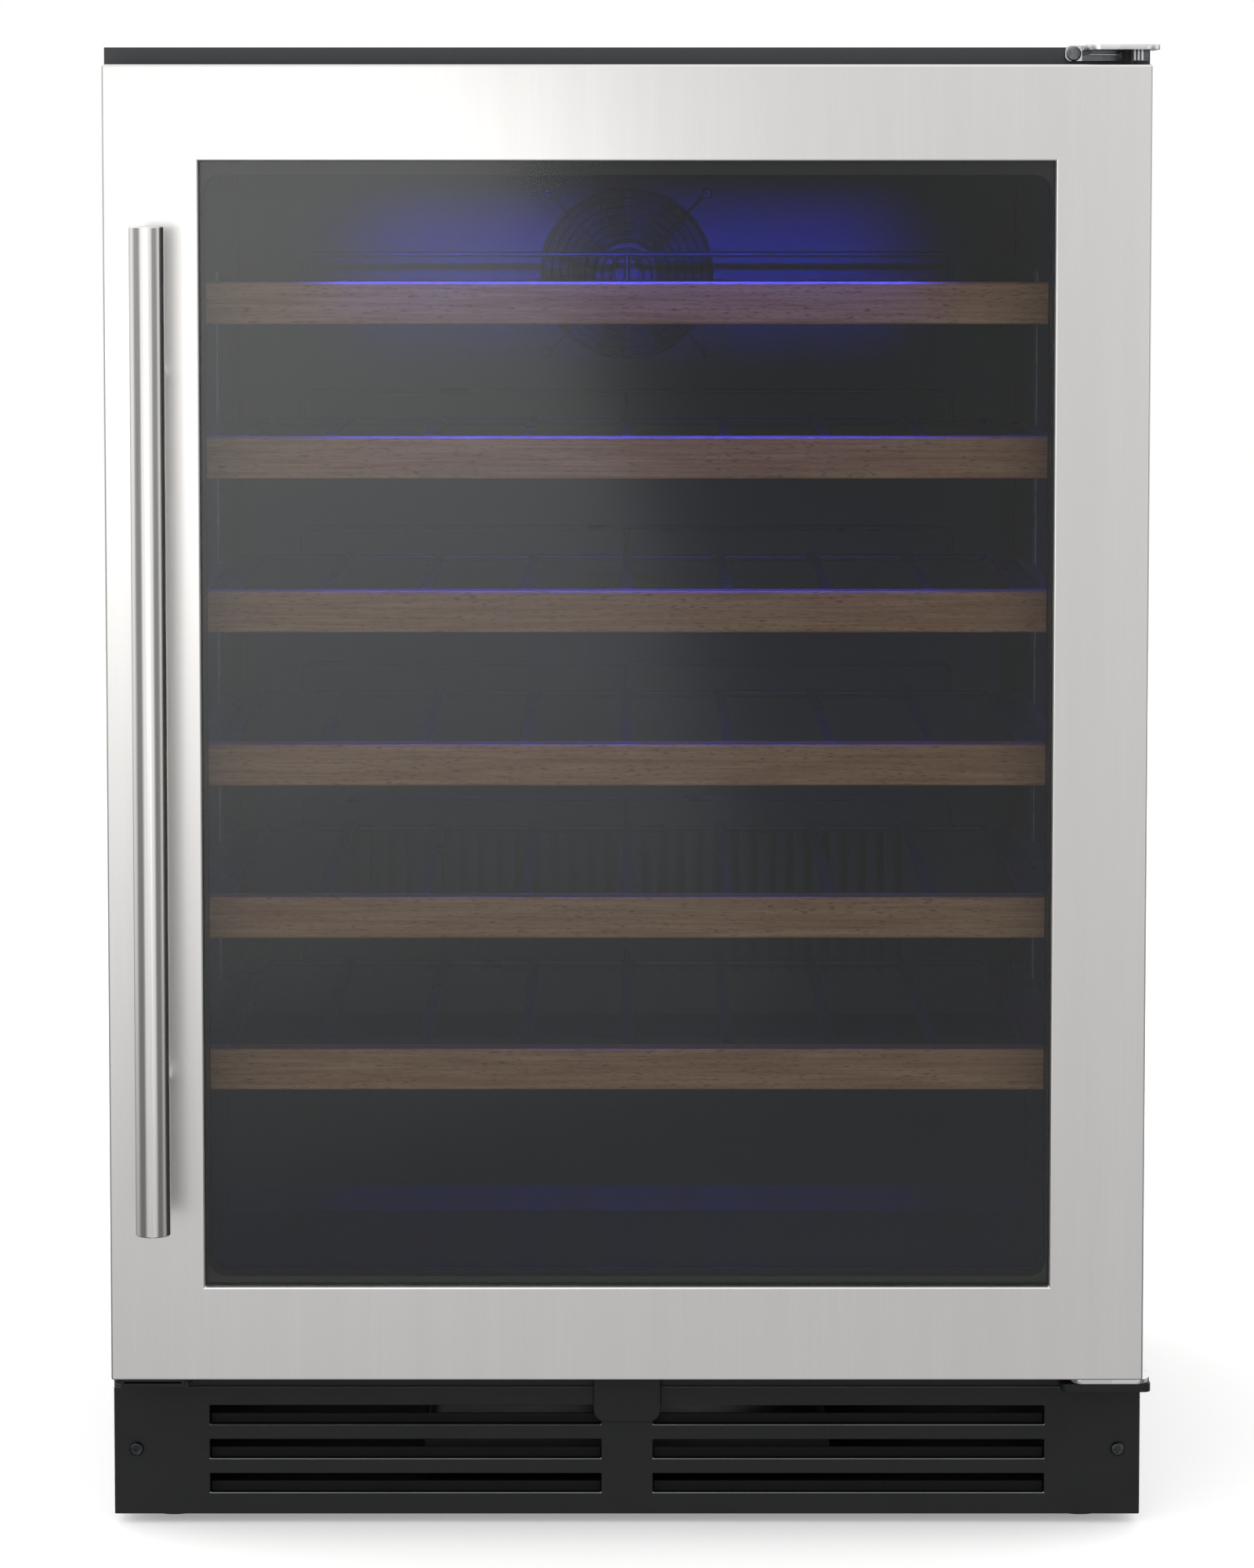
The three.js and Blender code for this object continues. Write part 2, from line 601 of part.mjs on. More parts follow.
/** Concentric guard rings on four spokes, with an ear for each corner screw. */
function fanGrille() {
  const { rings, first, pitch, sides, wire, screw, ear } = GRILLE;
  const span = [COVER.front - GAP - wire, COVER.front - GAP];
  const pieces = [];
  for (let index = 0; index < rings; index += 1) {
    const radius = first + index * pitch;
    pieces.push(cut(
      rodY(radius + wire / 2, [0, FAN.z], span, sides),
      rodY(radius - wire / 2, [0, FAN.z], [span[0] - PAST, span[1] + PAST], sides),
    ));
  }
  const reach = screw * Math.SQRT2;
  for (const turn of [Math.PI / 4, -Math.PI / 4]) {
    const spoke = box(across(reach), [0, wire], across(wire / 2)).rotateY(turn);
    pieces.push(spoke.translate(0, span[0], FAN.z));
  }
  for (const sx of [-1, 1]) {
    for (const sz of [-1, 1]) {
      pieces.push(rodY(ear, [sx * screw, FAN.z + sz * screw], span, 12));
    }
  }
  return join(...pieces);
}

/** The small vented cap over the air sensor, open at the back. */
function sensorCover() {
  const { half, low, high, depth, wall } = SENSOR;
  const back = COVER.front - GAP;
  const hollow = [back - depth + wall, back + PAST];
  const tools = [box(across(half - wall), hollow, [low + wall, high - wall])];
  const height = [low + SENSOR_SLOT.margin, high - SENSOR_SLOT.margin];
  for (let slot = 0; slot < SENSOR_SLOT.count; slot += 1) {
    const x = (slot - (SENSOR_SLOT.count - 1) / 2) * SENSOR_SLOT.pitch;
    tools.push(box(around(x, SENSOR_SLOT.half), [back - depth - PAST, back], height));
  }
  return cut(box(across(half), [back - depth, back], [low, high]), ...tools);
}

/** A block of upright fins on level tubes, made about the middle of its underside. */
function finBlock(half, depth, height, fins) {
  const pieces = [];
  for (let fin = 0; fin < fins; fin += 1) {
    const x = (fin / (fins - 1) - 0.5) * 2 * (half - COIL.fin);
    pieces.push(box(around(x, COIL.fin / 2), across(depth / 2), [0, height]));
  }
  for (let tube = 0; tube < COIL.tubes; tube += 1) {
    const z = (height * (tube + 0.5)) / COIL.tubes;
    pieces.push(box(across(half), across(COIL.tube / 2), around(z, COIL.tube / 2)));
  }
  return join(...pieces);
}

// ---------------------------------------------------------------- controls and light

const buttonPlaces = [
  { name: "button_power", x: -75 },
  { name: "button_light", x: -50 },
  { name: "button_cooler", x: 50 },
  { name: "button_warmer", x: 75 },
];

/** The housing under the ceiling, open above, with holes for the buttons and the light. */
function controlHousing() {
  const { half, front, back, low, wall, middle } = PANEL;
  const high = LINER.ceiling - GAP;
  const buttonHoles = buttonPlaces.map(({ x }) => box(
    around(x, BUTTON.half + BUTTON.clear),
    [front - PAST, front + wall + OVERLAP],
    around(middle, BUTTON.tall + BUTTON.clear),
  ));
  return cut(
    box(across(half), [front, back], [low, high]),
    box(across(half - wall), [front + wall, back - wall], [low + wall, high + PAST]),
    box(across(LED.half + GAP), [LED.front - GAP, LED.back + GAP], [low - PAST, low + wall + OVERLAP]),
    ...buttonHoles,
  );
}

/** A push button about the middle of its front face. */
const pushButton = () => box(across(BUTTON.half), [0, BUTTON.depth], across(BUTTON.tall));

const displayLens = () => box(
  across(DISPLAY.half),
  [PANEL.front - GAP - DISPLAY.thick, PANEL.front - GAP],
  around(PANEL.middle, DISPLAY.tall),
);

const ledLens = () => box(across(LED.half), [LED.front, LED.back], [PANEL.low, PANEL.low + LED.thick]);

// ---------------------------------------------------------------- machine bay

/** The domed compressor can on its foot plate. */
function compressor() {
  const { x, y, radius, top, plate, halfPlate, trim } = COMPRESSOR;
  const low = BAY.floor + GAP;
  const sole = low + plate - OVERLAP;
  const waist = low + plate + CAN.waist;
  const profile = [
    [0, sole], [radius - CAN.foot, sole], [radius - CAN.tuck, waist], [radius, waist + CAN.rise],
    [radius, top - CAN.shoulder], [radius - CAN.crown, top - CAN.crown],
    [radius - CAN.shoulder, top], [0, top],
  ].map(([r, z]) => new THREE.Vector2(r, z));
  const can = new THREE.LatheGeometry(profile, 20).rotateX(Math.PI / 2).translate(x, y, 0);
  const footPlate = box(around(x, halfPlate), around(y, halfPlate - trim), [low, low + plate]);
  return join(can, footPlate);
}

/** The shallow tray where melt water dries off. */
function dripTray() {
  const { half, front, back, height, wall } = TRAY;
  const low = BAY.floor + GAP;
  return cut(
    box(across(half), [front, back], [low, low + height]),
    box(across(half - wall), [front + wall, back - wall], [low + wall, low + height + PAST]),
  );
}

/** The recessed mains inlet in the rear cover, with three blades. */
function mainsInlet() {
  const { x, z, half, tall, depth, wall, recess, pin } = INLET;
  const [y0, y1] = [CABINET.depth - depth, CABINET.depth];
  const body = cut(
    box(around(x, half), [y0, y1], around(z, tall)),
    box(around(x, half - wall), [y1 - recess, y1 + PAST], around(z, tall - wall)),
  );
  const reach = [y1 - recess - OVERLAP, y1 - INLET_PIN.short];
  const blades = INLET_PIN.places.map((shift) =>
    box(around(x + shift, pin), reach, around(z, INLET_PIN.tall)),
  );
  return join(body, ...blades);
}

// ---------------------------------------------------------------- the cooler

const cooler = new THREE.Group();

/** Names a piece, gives it its finish and puts it in a group at a place. */
function add(name, geometry, material, at = [0, 0, 0], group = cooler) {
  const mesh = new THREE.Mesh(geometry, material);
  mesh.name = name;
  mesh.position.set(...at);
  group.add(mesh);
  return mesh;
}

add("cabinet_shell", cabinetShell(), charcoalPaint);
add("inner_liner", innerLiner(), linerPlastic);
add("insulation_foam", insulationFoam(), paleFoam);
add("cross_rail", crossRail(), blackPaint);
add("rear_sheet", rearSheet(), galvanised);
add("machine_cover", machineCover(), galvanised);
add("base_pan", basePan(), galvanised);
for (const { name, at } of footPlaces()) {
  add(name, levellingFoot(), blackPlastic, [...at, 0]);
}

add("kick_plate", kickPlate(), blackPaint);
add("kick_tab", kickTab(), blackPlastic);
for (const [name, side] of [["kick_screw_left", -1], ["kick_screw_right", 1]]) {
  add(name, frontScrew(), blackPaint, [side * KICK.screwX, KICK.front - GAP, KICK.screwZ]);
}
add("upper_hinge", upperHinge(), zincPlate);
add("lower_hinge", lowerHinge(), blackPaint);
add("spare_bracket", spareBracket(), blackPaint);

const door = new THREE.Group();
cooler.add(door);
add("door_frame", doorFrame(), brushedSteel, undefined, door);
add("door_core", doorCore(), blackPlastic, undefined, door);
add("outer_glass", pane(GLASS.outer), tintedGlass, undefined, door);
add("inner_glass", pane(GLASS.inner), tintedGlass, undefined, door);
add("glazing_bead", glazingBead(), blackPlastic, undefined, door);
add("door_gasket", doorGasket(), softRubber, undefined, door);
add("handle_bar", handleBar(), polishedSteel, undefined, door);
add("handle_post_upper", handlePost(), polishedSteel, [HANDLE.x, 0, HANDLE.high - HANDLE.inset], door);
add("handle_post_lower", handlePost(), polishedSteel, [HANDLE.x, 0, HANDLE.low + HANDLE.inset], door);

for (let level = 0; level < SHELF.count; level += 1) {
  const top = shelfTop(level);
  add(`shelf_fascia_${level + 1}`, shelfFascia(top), beech);
  add(`shelf_rack_${level + 1}`, shelfRack(top), blackWire);
}
add("slide_rails_left", slideRails(-1), zincPlate);
add("slide_rails_right", slideRails(1), zincPlate);

const fanY = COVER.front + COVER.sheet + GAP + FAN.depth / 2;
add("evaporator_cover", evaporatorCover(), linerPlastic);
add("fan_grille", fanGrille(), blackWire);
add("evaporator_fan_frame", fanFrame(), blackPlastic, [0, fanY, FAN.z]);
add("evaporator_fan_rotor", fanRotor(), blackPlastic, [0, fanY, FAN.z]);
add("sensor_cover", sensorCover(), blackPlastic);
add(
  "evaporator_coil",
  finBlock(EVAPORATOR.half, EVAPORATOR.depth, EVAPORATOR.height, EVAPORATOR.fins),
  aluminium,
  [0, EVAPORATOR.y, EVAPORATOR.low],
);

add("control_housing", controlHousing(), blackPlastic);
add("display_lens", displayLens(), tintedGlass);
add("led_lens", ledLens(), clearPlastic);
for (const { name, x } of buttonPlaces) {
  add(name, pushButton(), blackPlastic, [x, PANEL.front - BUTTON.proud, PANEL.middle]);
}

add("compressor", compressor(), blackPaint);
add(
  "condenser_coil",
  finBlock(CONDENSER.half, CONDENSER.depth, CONDENSER.height, CONDENSER.fins),
  blackPaint,
  [CONDENSER.x, CONDENSER.y, BAY.floor + GAP],
);
const condenserFan = new THREE.Group();
condenserFan.position.set(CONDENSER_FAN_X, CONDENSER.y, BAY.floor + GAP + FAN.size / 2);
condenserFan.rotation.z = -Math.PI / 2;
cooler.add(condenserFan);
add("condenser_fan_frame", fanFrame(), blackPlastic, undefined, condenserFan);
add("condenser_fan_rotor", fanRotor(), blackPlastic, undefined, condenserFan);
add("drip_tray", dripTray(), blackPlastic);
add("mains_inlet", mainsInlet(), blackPlastic);

// The origin is on the floor under the middle of the box round every piece.
const handleFront = HANDLE.y - HANDLE.radius;
cooler.position.y = -(handleFront + CABINET.depth) / 2;

export default cooler;
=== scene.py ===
"""Looks of an under-counter wine cooler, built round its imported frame.

Every sub-assembly of the cooler is a class that builds its pieces and dresses them, and every
finish is a frozen dataclass that makes one node material. Lengths are metres in the frame's own
axes: X to the right, Y to the back, Z up.
"""

import logging
import math
from contextlib import contextmanager
from dataclasses import dataclass
from enum import Enum
from typing import Callable, Iterator, Sequence

import bmesh
import bpy
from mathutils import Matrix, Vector


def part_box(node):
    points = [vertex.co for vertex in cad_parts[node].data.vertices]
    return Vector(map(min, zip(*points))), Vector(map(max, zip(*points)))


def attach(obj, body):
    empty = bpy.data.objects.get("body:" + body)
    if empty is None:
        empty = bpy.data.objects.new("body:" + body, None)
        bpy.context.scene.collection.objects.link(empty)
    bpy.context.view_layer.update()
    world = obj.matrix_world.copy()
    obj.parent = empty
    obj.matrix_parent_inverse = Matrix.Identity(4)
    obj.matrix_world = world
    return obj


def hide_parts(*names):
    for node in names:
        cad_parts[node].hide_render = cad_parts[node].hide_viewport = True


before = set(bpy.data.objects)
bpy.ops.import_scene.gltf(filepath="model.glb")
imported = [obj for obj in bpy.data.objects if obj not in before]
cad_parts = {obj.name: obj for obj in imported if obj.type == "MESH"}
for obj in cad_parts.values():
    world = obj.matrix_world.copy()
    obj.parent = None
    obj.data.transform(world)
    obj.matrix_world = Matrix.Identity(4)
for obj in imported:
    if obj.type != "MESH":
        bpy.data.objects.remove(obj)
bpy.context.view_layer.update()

LOG = logging.getLogger("wine_cooler")
MM = 0.001
NEAR = 0.01 * MM  # places closer than this are one
FACING = 0.9  # the least share of a normal along the way that its face looks
FAINT, STRONG = 0.3, 0.7  # the values that noise mostly lies between
NODES: dict[str, bpy.types.Object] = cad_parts

Point = tuple[float, float, float]
Socket = bpy.types.NodeSocket


class Body(Enum):
    """The rigid bodies that pieces ride on."""

    CABINET = "cabinet"
    DOOR = "door"
    EVAPORATOR_FAN = "evaporator_fan"
    CONDENSER_FAN = "condenser_fan"


class Axis(Enum):
    """The direction a round piece runs along, as the turn that lays a cylinder on it."""

    Y = (math.pi / 2, 0.0, 0.0)
    Z = (0.0, 0.0, 0.0)


# ---------------------------------------------------------------- node helpers


def linear(colour: str) -> tuple[float, float, float, float]:
    """Turns an sRGB hex colour to the linear values a shader takes.

    Args:
        colour: Six hex digits after a hash sign.

    Returns:
        Red, green, blue and an alpha of 1.
    """
    parts = [int(colour[i : i + 2], 16) / 255 for i in (1, 3, 5)]
    flat = [v / 12.92 if v <= 0.04045 else ((v + 0.055) / 1.055) ** 2.4 for v in parts]
    return (flat[0], flat[1], flat[2], 1.0)


def add_node(
    tree: bpy.types.NodeTree, kind: str, inputs: dict | None = None, **settings: object
) -> bpy.types.Node:
    """Adds a node with its settings, and links or sets its inputs.

    Args:
        tree: The node tree that takes the node.
        kind: The node's type name, without the leading "ShaderNode".
        inputs: Socket name or number to a value, or to the output socket that drives it.
        settings: The node's own properties.

    Returns:
        The new node.
    """
    node = tree.nodes.new("ShaderNode" + kind)
    for name, value in settings.items():
        setattr(node, name, value)
    for name, value in (inputs or {}).items():
        if isinstance(value, Socket):
            tree.links.new(value, node.inputs[name])
        else:
            node.inputs[name].default_value = value
    return node


def mix_colour(
    tree: bpy.types.NodeTree, factor: Socket | float, first: object, second: object,
    blend: str = "MIX",
) -> Socket:
    """Mixes two colours.

    Args:
        tree: The node tree.
        factor: How much of the second colour is taken.
        first: The first colour or its socket.
        second: The second colour or its socket.
        blend: The way they are mixed.

    Returns:
        The mixed colour.
    """
    node = add_node(tree, "Mix", {"Factor": factor}, data_type="RGBA", blend_type=blend)
    for socket, value in ((node.inputs[6], first), (node.inputs[7], second)):
        if isinstance(value, Socket):
            tree.links.new(value, socket)
        else:
            socket.default_value = value
    return node.outputs[2]


def ramp(node: bpy.types.Node, stops: Sequence[tuple[float, tuple]]) -> Socket:
    """Sets a colour ramp's stops.

    Args:
        node: The ramp.
        stops: A place from 0 to 1 and a linear colour for each stop, in order.

    Returns:
        The ramp's colour output.
    """
    elements = node.color_ramp.elements
    while len(elements) < len(stops):
        elements.new(1.0)
    for element, (place, colour) in zip(elements, stops):
        element.position = place
        element.color = colour
    return node.outputs["Color"]


# ---------------------------------------------------------------- finishes


@dataclass(frozen=True)
class Finish:
    """A material: what it is called, and the record's slot it belongs to."""

    name: str
    slot: str

    def material(self) -> bpy.types.Material:
        """Makes the material on first use.

        Returns:
            This finish's material.
        """
        made = bpy.data.materials.get(self.name)
        if made is None:
            made = bpy.data.materials.new(self.name)
            made.use_nodes = True
            made.node_tree.nodes.clear()
            output = add_node(made.node_tree, "OutputMaterial")
            made.node_tree.links.new(self.shade(made.node_tree), output.inputs["Surface"])
        return made

    def shade(self, tree: bpy.types.NodeTree) -> Socket:
        """Builds the nodes.

        Args:
            tree: The material's node tree.

        Returns:
            The shader output.
        """
        raise NotImplementedError

    def place(self, tree: bpy.types.NodeTree, cell: Point) -> Socket:
        """Gives Object coordinates scaled to a pattern's real size.

        Args:
            tree: The node tree.
            cell: The size of one pattern cell along each axis.

        Returns:
            The scaled coordinates.
        """
        source = add_node(tree, "TexCoord").outputs["Object"]
        scale = [1 / size for size in cell]
        scaled = add_node(tree, "Mapping", {"Vector": source, "Scale": scale})
        return scaled.outputs["Vector"]


@dataclass(frozen=True)
class BrushedSteel(Finish):
    """Stainless steel brushed along Z: metal whose grain smears reflections sideways.

    The real grit lines are about 0.1 mm wide, too fine to show, so they are drawn wider here.
    """

    light: str = "#d8d6d4"
    dark: str = "#d4d2d0"
    roughness: float = 0.28
    spread: float = 0.006
    anisotropy: float = 0.15
    line: float = 0.5 * MM
    length: float = 60 * MM
    cloud_width: float = 14 * MM
    cloud_length: float = 400 * MM
    relief: float = 0.0006 * MM

    def shade(self, tree: bpy.types.NodeTree) -> Socket:
        """Builds the nodes.

        Args:
            tree: The material's node tree.

        Returns:
            The shader output.
        """
        grain = self.place(tree, (self.line, self.line, self.length))
        lines = add_node(tree, "TexNoise", {"Vector": grain, "Scale": 1.0, "Detail": 3.0})
        broad = self.place(tree, (self.cloud_width, self.cloud_width, self.cloud_length))
        cloud = add_node(tree, "TexNoise", {"Vector": broad, "Scale": 1.0, "Detail": 2.0})
        both = add_node(
            tree, "Math", {0: lines.outputs["Fac"], 1: cloud.outputs["Fac"]}, operation="MULTIPLY"
        )
        tone = add_node(tree, "ValToRGB", {"Fac": both.outputs[0]})
        colour = ramp(tone, [(0.12, linear(self.dark)), (0.4, linear(self.light))])
        rough = add_node(tree, "MapRange", {
            "Value": lines.outputs["Fac"], "From Min": FAINT, "From Max": STRONG,
            "To Min": self.roughness - self.spread, "To Max": self.roughness + self.spread,
        })
        bump = add_node(tree, "Bump", {
            "Height": lines.outputs["Fac"], "Strength": 0.25, "Distance": self.relief,
        })
        return add_node(tree, "BsdfPrincipled", {
            "Base Color": colour, "Metallic": 1.0, "Roughness": rough.outputs["Result"],
            "Anisotropic": self.anisotropy, "Normal": bump.outputs["Normal"],
        }).outputs["BSDF"]


@dataclass(frozen=True)
class PowderCoat(Finish):
    """Baked powder paint on steel: a satin skin with a fine wrinkled grain.

    The paint's tone drifts a little over a patch of some grains.
    """

    light: str = "#2f3133"
    dark: str = "#2b2d2f"
    roughness: float = 0.5
    grain: float = 0.8 * MM
    patch: float = 60
    relief: float = 0.05 * MM
    metallic: float = 0.0
    specular: float = 0.5

    def shade(self, tree: bpy.types.NodeTree) -> Socket:
        """Builds the nodes.

        Args:
            tree: The material's node tree.

        Returns:
            The shader output.
        """
        fine = self.place(tree, (self.grain,) * 3)
        wrinkle = add_node(tree, "TexNoise", {"Vector": fine, "Scale": 1.0, "Detail": 4.0})
        wide = self.place(tree, (self.patch * self.grain,) * 3)
        cloud = add_node(tree, "TexNoise", {"Vector": wide, "Scale": 1.0, "Detail": 2.0})
        mixed = add_node(
            tree, "Math", {0: wrinkle.outputs["Fac"], 1: cloud.outputs["Fac"]}, operation="ADD"
        )
        tone = add_node(tree, "ValToRGB", {"Fac": mixed.outputs[0]})
        colour = ramp(tone, [(0.7, linear(self.dark)), (1.0, linear(self.light))])
        rough = add_node(tree, "MapRange", {
            "Value": cloud.outputs["Fac"], "From Min": FAINT, "From Max": STRONG,
            "To Min": self.roughness - 0.01, "To Max": self.roughness + 0.03,
        })
        bump = add_node(tree, "Bump", {
            "Height": wrinkle.outputs["Fac"], "Strength": 0.5, "Distance": self.relief,
        })
        return add_node(tree, "BsdfPrincipled", {
            "Base Color": colour, "Metallic": self.metallic,
            "Specular IOR Level": self.specular,
            "Roughness": rough.outputs["Result"], "Normal": bump.outputs["Normal"],
        }).outputs["BSDF"]


@dataclass(frozen=True)
class PlatedSteel(Finish):
    """Zinc plate or galvanised sheet: bright metal with a patchwork of crystals."""

    light: str = "#c9cbcc"
    dark: str = "#a4a7a9"
    roughness: float = 0.34
    spread: float = 0.07
    crystal: float = 7 * MM

    def shade(self, tree: bpy.types.NodeTree) -> Socket:
        """Builds the nodes.

        Args:
            tree: The material's node tree.

        Returns:
            The shader output.
        """
        cells = self.place(tree, (self.crystal,) * 3)
        spangle = add_node(tree, "TexVoronoi", {"Vector": cells, "Scale": 1.0})
        grey = add_node(tree, "RGBToBW", {"Color": spangle.outputs["Color"]})
        tone = add_node(tree, "ValToRGB", {"Fac": grey.outputs["Val"]})
        colour = ramp(tone, [(0.2, linear(self.dark)), (0.8, linear(self.light))])
        rough = add_node(tree, "MapRange", {
            "Value": grey.outputs["Val"], "To Min": self.roughness - self.spread,
            "To Max": self.roughness + self.spread + 0.01,
        })
        return add_node(tree, "BsdfPrincipled", {
            "Base Color": colour, "Metallic": 1.0, "Roughness": rough.outputs["Result"],
        }).outputs["BSDF"]


@dataclass(frozen=True)
class MouldedPlastic(Finish):
    """Moulded ABS or polystyrene: a satin skin with the mould's fine spark texture."""

    light: str = "#2b2d30"
    dark: str = "#232528"
    roughness: float = 0.42
    spread: float = 0.05
    grain: float = 0.7 * MM
    patch: float = 90 * MM
    relief: float = 0.03 * MM

    def shade(self, tree: bpy.types.NodeTree) -> Socket:
        """Builds the nodes.

        Args:
            tree: The material's node tree.

        Returns:
            The shader output.
        """
        fine = self.place(tree, (self.grain,) * 3)
        spark = add_node(tree, "TexNoise", {"Vector": fine, "Scale": 1.0, "Detail": 2.0})
        wide = self.place(tree, (self.patch,) * 3)
        cloud = add_node(tree, "TexNoise", {"Vector": wide, "Scale": 1.0, "Detail": 3.0})
        tone = add_node(tree, "ValToRGB", {"Fac": cloud.outputs["Fac"]})
        colour = ramp(tone, [(0.35, linear(self.dark)), (0.65, linear(self.light))])
        rough = add_node(tree, "MapRange", {
            "Value": spark.outputs["Fac"], "From Min": FAINT, "From Max": STRONG,
            "To Min": self.roughness - self.spread, "To Max": self.roughness + self.spread,
        })
        bump = add_node(tree, "Bump", {
            "Height": spark.outputs["Fac"], "Strength": 0.4, "Distance": self.relief,
        })
        return add_node(tree, "BsdfPrincipled", {
            "Base Color": colour, "Roughness": rough.outputs["Result"],
            "Normal": bump.outputs["Normal"],
        }).outputs["BSDF"]


@dataclass(frozen=True)
class Beech(Finish):
    """Beech under clear lacquer: pale growth bands along the board and short dark flecks."""

    pale: str = "#f4bf93"
    warm: str = "#e4a376"
    fleck: str = "#8a5030"
    shadow: str = "#d3c4b8"
    band: Point = (130 * MM, 12 * MM, 9 * MM)
    fibre: Point = (60 * MM, 2 * MM, 1.3 * MM)
    ray: Point = (5 * MM, 0.7 * MM, 0.7 * MM)
    relief: float = 0.05 * MM
    roughness: float = 0.42

    def shade(self, tree: bpy.types.NodeTree) -> Socket:
        """Builds the nodes.

        Args:
            tree: The material's node tree.

        Returns:
            The shader output.
        """
        along = self.place(tree, self.band)
        bands = add_node(
            tree, "TexNoise", {"Vector": along, "Scale": 1.0, "Detail": 5.0, "Distortion": 1.4}
        )
        tone = add_node(tree, "ValToRGB", {"Fac": bands.outputs["Fac"]})
        ground = ramp(tone, [(0.3, linear(self.warm)), (0.68, linear(self.pale))])
        thin = self.place(tree, self.fibre)
        fibre = add_node(tree, "TexNoise", {"Vector": thin, "Scale": 1.0, "Detail": 3.0})
        fibres = add_node(tree, "ValToRGB", {"Fac": fibre.outputs["Fac"]})
        veil = ramp(fibres, [(0.35, linear(self.shadow)), (0.6, linear("#ffffff"))])
        grained = mix_colour(tree, 0.6, ground, veil, "MULTIPLY")
        dashes = self.place(tree, self.ray)
        rays = add_node(tree, "TexNoise", {"Vector": dashes, "Scale": 1.0, "Detail": 1.0})
        mask = add_node(tree, "MapRange", {
            "Value": rays.outputs["Fac"], "From Min": 0.6, "From Max": 0.7, "To Max": 0.7,
        })
        colour = mix_colour(tree, mask.outputs["Result"], grained, linear(self.fleck))
        bump = add_node(tree, "Bump", {
            "Height": fibre.outputs["Fac"], "Strength": 0.3, "Distance": self.relief,
        })
        return add_node(tree, "BsdfPrincipled", {
            "Base Color": colour, "Roughness": self.roughness,
            "Normal": bump.outputs["Normal"], "Coat Weight": 0.25, "Coat Roughness": 0.25,
        }).outputs["BSDF"]


@dataclass(frozen=True)
class TintedPane(Finish):
    """Float glass with a tint: it mirrors a little, more at a glancing angle, and dims the rest."""

    tint: str = "#dcdfe0"
    gloss: float = 0.13
    haze: float = 1.2
    patch: float = 250 * MM
    ior: float = 1.5

    def shade(self, tree: bpy.types.NodeTree) -> Socket:
        """Builds the nodes.

        Args:
            tree: The material's node tree.

        Returns:
            The shader output.
        """
        wide = self.place(tree, (self.patch,) * 3)
        haze = add_node(tree, "TexNoise", {"Vector": wide, "Scale": 1.0, "Detail": 2.0})
        rough = add_node(tree, "MapRange", {
            "Value": haze.outputs["Fac"], "To Min": self.gloss, "To Max": self.gloss * self.haze,
        })
        clear = add_node(tree, "BsdfTransparent", {"Color": linear(self.tint)})
        mirror = add_node(tree, "BsdfGlossy", {"Roughness": rough.outputs["Result"]})
        edge = add_node(tree, "Fresnel", {"IOR": self.ior})
        return add_node(tree, "MixShader", {
            0: edge.outputs["Fac"], 1: clear.outputs["BSDF"], 2: mirror.outputs["BSDF"],
        }).outputs["Shader"]


@dataclass(frozen=True)
class LightLens(Finish):
    """Frosted lens of the light bar: blue light, a little weaker between its diodes."""

    colour: str = "#3a3cff"
    frost: str = "#8f93ff"
    pitch: float = 12 * MM
    strength: float = 6.0
    dip: float = 0.6

    def shade(self, tree: bpy.types.NodeTree) -> Socket:
        """Builds the nodes.

        Args:
            tree: The material's node tree.

        Returns:
            The shader output.
        """
        row = self.place(tree, (self.pitch, math.inf, math.inf))
        wave = add_node(tree, "TexWave", {"Vector": row, "Scale": 0.32})
        power = add_node(tree, "MapRange", {
            "Value": wave.outputs["Fac"], "To Min": self.dip * self.strength,
            "To Max": self.strength,
        })
        return add_node(tree, "BsdfPrincipled", {
            "Base Color": linear(self.frost), "Roughness": 0.5,
            "Emission Color": linear(self.colour), "Emission Strength": power.outputs["Result"],
        }).outputs["BSDF"]


DOOR_STEEL = BrushedSteel("stainless_brushed_upright", "door_steel")
HANDLE_STEEL = BrushedSteel(
    "stainless_satin_polish", "handle_steel", light="#dfdedc", dark="#d6d4d2",
    roughness=0.2, spread=0.02, anisotropy=0.2, line=0.6 * MM,
)
CHARCOAL = PowderCoat("charcoal_powder_coat", "charcoal_paint")
BLACK_COAT = PowderCoat(
    "black_powder_coat", "black_paint", light="#181919", dark="#131414", roughness=0.5,
    grain=0.6 * MM, relief=0.03 * MM, specular=0.22,
)
WIRE_COAT = PowderCoat(
    "black_wire_coat", "black_wire", light="#3d3e45", dark="#303138", roughness=0.28,
    grain=1.2 * MM, relief=0.02 * MM, metallic=0.35,
)
ZINC = PlatedSteel("zinc_plated_steel", "zinc_plate")
BRIGHT_ZINC = PlatedSteel(
    "bright_zinc_plate", "zinc_plate", light="#e2e3e4", dark="#c9cbcc", roughness=0.2,
    crystal=14 * MM,
)
# Dark steel for the hinge screw, also laid on the upper hinge's web as painted shade.
SCREW_STEEL = PlatedSteel(
    "blackened_screw_steel", "zinc_plate", light="#75777a", dark="#56585b", roughness=0.3,
    crystal=5 * MM,
)
BLACK_SCREW = PlatedSteel(
    "black_oxide_screw", "black_paint", light="#47494c", dark="#323437", roughness=0.32,
    crystal=5 * MM,
)
# Near-black for the base pan and the faces inside the kick plate's slots: painted shade that keeps
# the slots dark.
SHADE_BLACK_COAT = PowderCoat(
    "painted_shade_black_coat", "black_paint", light="#0d0e0e", dark="#090909", roughness=0.6,
    specular=0.12,
)
FAN_PLASTIC = MouldedPlastic(
    "glass_filled_nylon", "black_plastic", light="#595b61", dark="#4b4d52", roughness=0.45,
)
# Light grey for the kick plate's slot lips that look up and forward: a painted highlight where
# light from above falls on them.
SLOT_LIP_HIGHLIGHT = PowderCoat(
    "painted_highlight_slot_lip", "black_paint", light="#949a9b", dark="#80868a", roughness=0.35,
)
